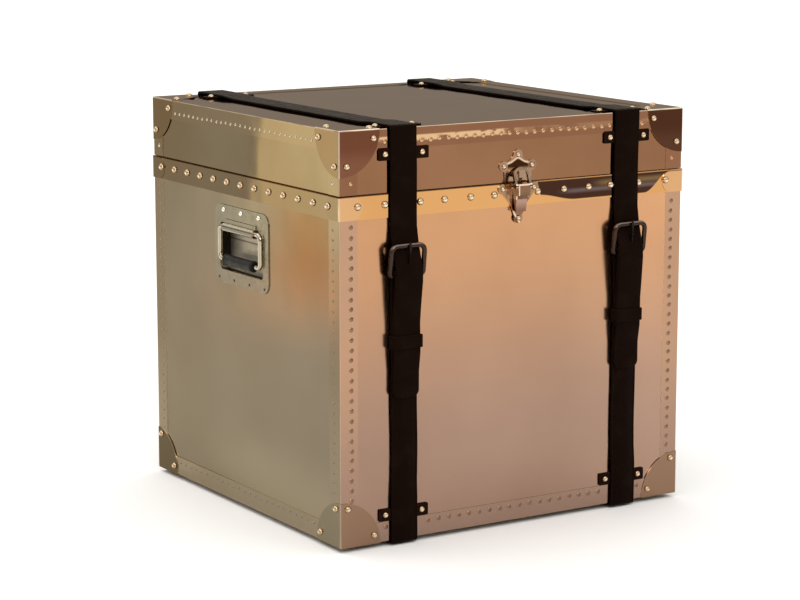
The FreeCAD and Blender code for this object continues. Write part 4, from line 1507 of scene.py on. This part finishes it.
@dataclass
class StrapSet:
    """One strap: over the lid, round the base with its fold, and the free end with its keeper."""

    side: Side
    section: StripSection = StripSection(0.040, 0.0032)
    step: float = 0.006
    middle: float = 0.0040
    bend: float = 0.0028
    rear_join: float = 0.487
    over: float = 0.5550
    under: float = 0.0040
    heel: float = 0.361
    heel_turn: float = 0.0052
    fold_end: float = 0.258
    fold_corner: float = 0.004
    ease: float = 0.008
    chape_slope: float = 0.056
    slope: float = 0.024
    layer: float = 0.0035
    bar_level: float = 0.400
    behind_bar: float = 0.0081
    tip: float = 0.199
    tip_corner: float = 0.009
    keeper_level: float = 0.2733
    keeper_section: StripSection = StripSection(0.017, 0.0022, edge=0.0009, crease=0.002, groove=0.0002)
    keeper_half: float = 0.0214
    keeper_back: float = 0.0016
    keeper_front: float = 0.0140
    keeper_bend: float = 0.0016
    keeper_step: float = 0.004
    drifts: tuple[Point2, ...] = ((0.0004, 23.0), (0.0003, 51.0))
    drift_phase: float = 1.3
    lean: float = -0.0015
    lean_from: float = 0.25
    lean_to: float = 0.42
    hug: float = 0.0025
    hug_ends: tuple[float, ...] = (0.062, 0.086, 0.206, 0.236)
    sag: float = 0.5530
    sag_ends: tuple[float, ...] = (-0.450, -0.420, -0.075, -0.048)

    def place(self, out: float, level: float, across: float) -> Vector:
        """A point of the strap from its distance off the front skin, level and place across."""
        return Vector((self.side.value * CHEST.strap_offset + across, -CHEST.half_depth - out, level))

    @property
    def rear(self) -> float:
        """The strap's place on the back wall, as a distance off the front skin."""
        return -2 * CHEST.half_depth - self.middle

    @property
    def chape_front(self) -> float:
        """The fold's place in front of the heel bar."""
        return self.middle + 2 * self.heel_turn

    def piece(self, name: str, corners: Sequence[Corner], corner: float) -> Piece:
        """Sweeps one length of strap, with a little drift and lean in its line.

        Args:
            name: The piece's name after the side's.
            corners: (out, level, radius) of each corner of its line.
            corner: Radius of the corners at its last end.

        Returns:
            The piece, not yet on a body.
        """
        path = with_tip(rounded_path(corners, self.step), corner)
        phase = self.drift_phase * self.side.value

        def place(out: float, level: float, across: float) -> Vector:
            """A point of the drifting strap.

            Args:
                out: Distance off the front skin.
                level: Height over the floor.
                across: Distance to the right of the strap's middle.

            Returns:
                The point in the chest's frame.
            """
            (slow, slow_rate), (quick, quick_rate) = self.drifts
            drift = slow * math.sin(slow_rate * level + phase)
            drift = drift + quick * math.sin(quick_rate * level - phase)
            rise = min(1.0, max(0.0, (level - self.lean_from) / (self.lean_to - self.lean_from)))
            return self.place(out, level, across + drift + self.lean * rise * rise * (3 - 2 * rise))

        shape = sweep(path, self.section.points(), place, corner=corner)
        return new_piece(f"{self.side.word}_{name}", *shape, Finish.STRAP, "bridle_leather")

    def over_lid(self) -> None:
        """The length over the lid and its free end: behind the bar, over the fold and through the keeper."""
        rest = self.middle + self.layer
        over_fold = rest + self.layer
        over_chape = self.chape_front + self.layer
        strap = self.piece("lid_strap", [
            (self.rear, self.rear_join, 0.0),
            (self.rear, self.over, self.bend),
            (self.sag_ends[0], self.over, self.ease),
            (self.sag_ends[1], self.sag, self.ease),
            (self.sag_ends[2], self.sag, self.ease),
            (self.sag_ends[3], self.over, self.ease),
            (self.middle, self.over, self.bend),
            (self.middle, self.bar_level + self.slope, 2 * self.ease),
            (self.behind_bar, self.bar_level, self.ease),
            (over_chape, self.heel + self.heel_turn, self.ease),
            (over_chape, self.heel - self.ease, self.ease),
            (over_fold, self.heel - self.ease - self.chape_slope, self.ease),
            (over_fold, self.fold_end, self.ease),
            (rest, self.fold_end - self.slope, self.ease),
            (rest, self.tip, 0.0),
        ], self.tip_corner)
        word, front, level = self.side.word, -CHEST.half_depth, CHEST.rim - 0.002
        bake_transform(strap)
        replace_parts(strap, word + "_strap_lid", word + "_strap_billet")

    def round_base(self) -> None:
        """The length down the back, under the base and up to the fold round the buckle's heel."""
        rest = self.middle + self.layer
        strap = self.piece("base_strap", [
            (self.rear, self.rear_join, 0.0),
            (self.rear, self.under, self.bend),
            (self.middle, self.under, self.bend),
            (self.middle, self.hug_ends[0], self.ease),
            (self.hug, self.hug_ends[1], self.ease),
            (self.hug, self.hug_ends[2], self.ease),
            (self.middle, self.hug_ends[3], self.ease),
            (self.middle, self.heel + self.heel_turn, self.heel_turn),
            (self.chape_front, self.heel + self.heel_turn, self.heel_turn),
            (self.chape_front, self.heel - self.ease, self.ease),
            (rest, self.heel - self.ease - self.chape_slope, self.ease),
            (rest, self.fold_end, 0.0),
        ], self.fold_corner)
        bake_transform(strap)
        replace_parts(strap, self.side.word + "_strap_base")

    def keeper(self) -> None:
        """The leather ring that holds the free end."""
        half, back, front, bend = self.keeper_half, self.keeper_back, self.keeper_front, self.keeper_bend
        turns = [(-half, back, bend), (-half, front, bend), (half, front, bend), (half, back, bend)]
        path = rounded_path([(0.0, back, 0.0), *turns, (0.0, back, 0.0)], self.keeper_step)[:-1]

        def place(across: float, out: float, rise: float) -> Vector:
            """A point of the ring."""
            return self.place(out, self.keeper_level + rise, across)

        shape = sweep(path, self.keeper_section.points(), place, closed=True)
        ring = new_piece(self.side.word + "_keeper_ring", *shape, Finish.STRAP, "bridle_leather")
        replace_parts(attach(ring, "base"), self.side.word + "_strap_keeper")

    def build(self) -> None:
        """Makes the strap and dresses its buckle."""
        self.over_lid()
        self.round_base()
        self.keeper()
        dress_node(self.side.word + "_buckle_frame", Finish.BRONZE)
        dress_node(self.side.word + "_buckle_prong", Finish.PRONG)


@dataclass
class StrapTabs:
    """The flat riveted leather tabs that hold the straps to lid and base."""

    width: float = 0.076
    height: float = 0.0165
    corner: float = 0.0015
    face: float = 0.0024
    edge: float = 0.0005
    crease: float = 0.0022
    groove: float = 0.0002
    rivet_place: float = 0.028
    rivet_radius: float = 0.0043
    rivet_height: float = 0.003
    lid_level: float = 0.519
    foot_level: float = 0.043
    front_place: float = -0.237
    rear_place: float = 0.212

    def tab(self, seat: float, place: Placing) -> Shape:
        """One tab.

        Args:
            seat: Height of its seat.
            place: Gives the point in the frame for (across, out, along).

        Returns:
            The tab's points and faces.
        """
        half, level = self.width / 2, (seat + self.face) / 2
        run = with_tip([(0.0, level), (half, level)], self.corner)
        path = [(-u, v) for u, v in reversed(run[1:])] + run
        section = StripSection(self.height, self.face - seat, self.edge, self.crease, self.groove)
        return sweep(path, section.points(), place, corner=self.corner, both=True)

    def group(self, body: str, spots: Sequence[tuple[float, Placing, Vector]]) -> None:
        """Joins the tabs of one body and sets their rivets.

        Args:
            body: The body.
            spots: Height of the seat, placing and outward direction of each tab.
        """
        verts: list[Vector] = []
        faces: list[tuple[int, ...]] = []
        rivets = Studs(body + "_tab_rivets", body, Finish.RIVET, "tab_leather")
        for seat, place, normal in spots:
            some, sides = self.tab(seat, place)
            faces += [tuple(len(verts) + j for j in side) for side in sides]
            verts += some
            for across in (-self.rivet_place, self.rivet_place):
                rivets.dome(place(across, self.face, 0.0), normal, self.rivet_radius, self.rivet_height)
        tabs = new_piece(body + "_tabs", verts, faces, Finish.TAB, "tab_leather")
        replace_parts(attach(tabs, body), body + "_strap_tabs")
        rivets.build()

    def on_wall(self, wall: Wall, side: Side, level: float) -> Placing:
        """Places a tab on the front or back wall."""
        middle = side.value * CHEST.strap_offset
        return lambda across, out, along: wall.at(middle + across, out, level + along)

    def on_top(self, y: float, side: Side) -> Placing:
        """Places a tab on the lid's top."""
        middle = side.value * CHEST.strap_offset
        return lambda across, out, along: Vector((middle + across, y + along, CHEST.lid_top + out))

    def build(self) -> None:
        """Makes the tabs of lid and base."""
        lid, base = [], []
        for side in Side:
            for wall in (Wall.FRONT, Wall.BACK):
                lid.append((CHEST.trim, self.on_wall(wall, side, self.lid_level), wall.normal))
                base.append((CHEST.trim, self.on_wall(wall, side, self.foot_level), wall.normal))
            lid.append((CHEST.trim, self.on_top(self.front_place, side), UP))
            lid.append((0.0, self.on_top(self.rear_place, side), UP))
        self.group("lid", lid)
        self.group("base", base)


@dataclass
class Latch:
    """The draw latch in front."""

    plate: float = 0.0015
    lid_rivets: tuple[Point2, ...] = ((-0.0225, 0.4905), (0.0225, 0.4905), (0.0, 0.5054))
    base_rivets: tuple[Point2, ...] = ((-0.025, 0.4606), (0.025, 0.4606), (0.0, 0.421))
    rivet: Point2 = (0.0037, 0.003)
    ease: float = 0.0009

    def build(self) -> None:
        """Dresses the latch's nodes and sets its rivets."""
        for node, finish in (
            ("lid_plate", Finish.LATCH_LID), ("base_plate", Finish.LATCH_BASE), ("lever", Finish.LEVER),
            ("link", Finish.LATCH), ("pivot_pin", Finish.LATCH), ("link_pin", Finish.LATCH),
        ):
            dress_node("latch_" + node, finish)
            ease_edges("latch_" + node, self.ease)
        rows = (("lid", self.plate, self.lid_rivets), ("base", CHEST.band + self.plate, self.base_rivets))
        for body, out, places in rows:
            group = Studs(body + "_latch_rivets", body, Finish.RIVET, "latch_nickel")
            group.on_wall(Wall.FRONT, out, places, self.rivet).build()


@dataclass
class Handle:
    """A recessed drop handle."""

    side: Side
    plate: float = 0.0015
    ease: float = 0.0005
    top_level: float = 0.415
    low_level: float = 0.320
    top_rivets: tuple[float, ...] = (-0.0494, 0.0, 0.0494)
    low_screws: tuple[float, ...] = (-0.064, -0.0215, 0.0215, 0.064)
    rivet: Point2 = (0.0036, 0.0026)
    screw: Point2 = (0.0022, 0.0008)

    def build(self) -> None:
        """Dresses the handle's nodes and sets its rivets."""
        word = self.side.word
        dress_node(word + "_handle_pan", Finish.HANDLE)
        ease_edges(word + "_handle_pan", self.ease)
        dress_node(word + "_handle_bail", Finish.BAIL)
        dress_node(word + "_handle_grip", Finish.GRIP)
        wall = Wall.LEFT if self.side is Side.LEFT else Wall.RIGHT
        # Painted highlight: the top rivets take the brighter pan rivet finish.
        for name, finish, level, places, head in (
            ("_handle_rivets", Finish.PAN_RIVET, self.top_level, self.top_rivets, self.rivet),
            ("_handle_screws", Finish.BRONZE, self.low_level, self.low_screws, self.screw),
        ):
            group = Studs(word + name, "base", finish, "handle_nickel")
            group.on_wall(wall, self.plate, [(across, level) for across in places], head).build()


@dataclass
class Carcass:
    """Plywood, hinges and feet."""

    hinge_places: tuple[float, ...] = (-0.092, 0.092)
    screw_across: tuple[float, ...] = (-0.022, 0.0, 0.022)
    screw_rise: float = 0.019
    screw: Point2 = (0.0032, 0.0014)
    leaf: float = 0.0015

    def build(self) -> None:
        """Dresses the nodes and sets the hinges' rivets."""
        finishes = {"plywood": Finish.WOOD, "hinge_steel": Finish.STEEL, "foot_rubber": Finish.FOOT}
        for row in frame["record"]["subparts"]:
            if row["material_slot"] in finishes:
                dress_node(row["node"], finishes[row["material_slot"]])
        row = [middle + across for middle in self.hinge_places for across in self.screw_across]
        for body, level, out in (
            ("base", CHEST.rim - self.screw_rise, CHEST.band),
            ("lid", CHEST.lid_bottom + self.screw_rise, 0.0),
        ):
            group = Studs(body + "_hinge_rivets", body, Finish.RIVET, "hinge_steel", segments=12, rings=3)
            group.on_wall(Wall.BACK, out + self.leaf, [(across, level) for across in row], self.screw).build()


@dataclass
class Studio:
    """Pale floor, soft light and the camera at the photograph's angle."""

    camera: Vector = field(default_factory=lambda: Vector((-1.87689, -2.96004, 0.90747)))
    azimuth: float = -32.097
    elevation: float = 10.318
    lens: float = 112.356
    sensor: float = 36.0
    far: float = 200.0
    floor_size: float = 60.0
    floor_tones: tuple[Colour, Colour] = ((0.86, 0.855, 0.85), (0.88, 0.875, 0.87))
    floor_roughness: float = 0.75
    floor_shine: float = 0.2
    horizon: tuple[float, Colour] = (0.05, (0.200, 0.185, 0.162))
    zenith: tuple[float, Colour] = (0.80, (0.985, 0.98, 0.97))
    strength: float = 1.6
    sun_energy: float = 0.5
    sun_colour: Colour = (1.0, 0.95, 0.88)
    sun_place: Corner = (-1.2, 1.6, 3.0)
    sun_angle: float = 60.0
    box_energy: float = 22.0
    box_colour: Colour = (1.0, 0.97, 0.92)
    box_place: Corner = (-1.3, -2.6, 2.2)
    box_size: float = 0.9
    box_target: Corner = (0.0, 0.0, 0.3)
    panel_place: Point2 = (-1.0, 1.085)
    panel_width: float = 0.37
    panels: tuple[tuple[str, float, Colour, float, float], ...] = (
        ("panel", 0.52, (1.0, 0.88, 0.53), 0.29, 0.26),
        ("glow", 0.24, (1.0, 0.42, 0.08), 0.085, 0.14),
    )

    def floor(self) -> None:
        """The floor, with faint mottling."""
        reach = self.floor_size / 2
        mesh = bpy.data.meshes.new("floor")
        corners = [(-reach, -reach, 0), (reach, -reach, 0), (reach, reach, 0), (-reach, reach, 0)]
        mesh.from_pydata(corners, [], [(0, 1, 2, 3)])
        g = Graph("floor")
        tone = g.mix(g.noise(1.5, 4.0), *self.floor_tones)
        mesh.materials.append(
            g.finish(Base_Color=tone, Roughness=self.floor_roughness, Specular_IOR_Level=self.floor_shine)
        )
        plane = bpy.data.objects.new("floor", mesh)
        bpy.context.scene.collection.objects.link(plane)
        plane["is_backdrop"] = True

    def world(self) -> None:
        """A plain soft surround, dimmer at the horizon than overhead."""
        world = bpy.data.worlds.new("studio")
        bpy.context.scene.world = world
        world.use_nodes = True
        tree = world.node_tree
        coords = tree.nodes.new("ShaderNodeTexCoord")
        split = tree.nodes.new("ShaderNodeSeparateXYZ")
        ramp = tree.nodes.new("ShaderNodeValToRGB")
        for stop, (place, colour) in zip(ramp.color_ramp.elements, (self.horizon, self.zenith)):
            stop.position, stop.color = place, (*colour, 1.0)
        tree.links.new(coords.outputs["Generated"], split.inputs[0])
        tree.links.new(split.outputs[2], ramp.inputs[0])
        tree.links.new(ramp.outputs[0], tree.nodes["Background"].inputs[0])
        tree.nodes["Background"].inputs[1].default_value = self.strength

    def lamp(self, name: str, kind: str, energy: float, colour: Colour, spot: Corner,
             target: Corner = (0.0, 0.0, 0.0)) -> Piece:
        """Adds a lamp that looks at a point.

        Args:
            name: The lamp's name.
            kind: Its type.
            energy: Its strength.
            colour: Its colour.
            spot: Its place.
            target: The point.

        Returns:
            The lamp.
        """
        data = bpy.data.lights.new(name, kind)
        data.energy, data.color = energy, colour
        lamp = bpy.data.objects.new(name, data)
        lamp.location = spot
        lamp.rotation_mode = "QUATERNION"
        lamp.rotation_quaternion = (Vector(target) - Vector(spot)).to_track_quat("-Z", "Y")
        lamp.visible_camera = False
        bpy.context.scene.collection.objects.link(lamp)
        return lamp

    def lights(self) -> None:
        """A soft sun from behind, a soft box in front and two low warm panels at the left."""
        sun = self.lamp("sun", "SUN", self.sun_energy, self.sun_colour, self.sun_place)
        sun.data.angle = math.radians(self.sun_angle)
        box = self.lamp("softbox", "AREA", self.box_energy, self.box_colour, self.box_place, self.box_target)
        box.data.shape, box.data.size = "SQUARE", self.box_size
        x, y = self.panel_place
        for name, energy, colour, level, height in self.panels:
            panel = self.lamp(name, "AREA", energy, colour, (x, y, level), (0.0, y, level))
            panel.data.shape, panel.data.size, panel.data.size_y = "RECTANGLE", self.panel_width, height
            panel.visible_diffuse = False

    def shoot(self) -> None:
        """The camera."""
        data = bpy.data.cameras.new("camera")
        data.lens, data.sensor_width, data.sensor_fit = self.lens, self.sensor, "HORIZONTAL"
        data.clip_end = self.far
        a, e = math.radians(self.azimuth), math.radians(self.elevation)
        back = Vector((math.sin(a) * math.cos(e), -math.cos(a) * math.cos(e), math.sin(e)))
        camera = bpy.data.objects.new("camera", data)
        camera.location = self.camera
        camera.rotation_mode = "QUATERNION"
        camera.rotation_quaternion = (-back).to_track_quat("-Z", "Y")
        bpy.context.scene.collection.objects.link(camera)
        bpy.context.scene.camera = camera

    def build(self) -> None:
        """Sets the whole stage."""
        bpy.context.scene.view_settings.view_transform = "Standard"
        self.floor()
        self.world()
        self.lights()
        self.shoot()


def write_sizes() -> None:
    """Gathers the frame's box and the dressed chest's box, and does nothing with them."""
    boxes = {"cad": CAD_BOX, "visual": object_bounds()}
    {name: [list(corner) for corner in box] for name, box in boxes.items()}


def main() -> None:
    """Dresses the chest and sets the studio."""
    logging.basicConfig(level=logging.INFO, format="%(name)s: %(message)s")
    parts = [Carcass(), Cladding(), *(StrapSet(side) for side in Side), StrapTabs(), Latch()]
    parts += [*(Handle(side) for side in Side), Studio()]
    for part in parts:
        before = set(bpy.data.objects.keys())
        part.build()
        LOG.info("built %s", type(part).__name__)
        for name in sorted(set(bpy.data.objects.keys()) - before):
            LOG.info("made %s", name)
    write_sizes()


if __name__ == "__main__":
    main()
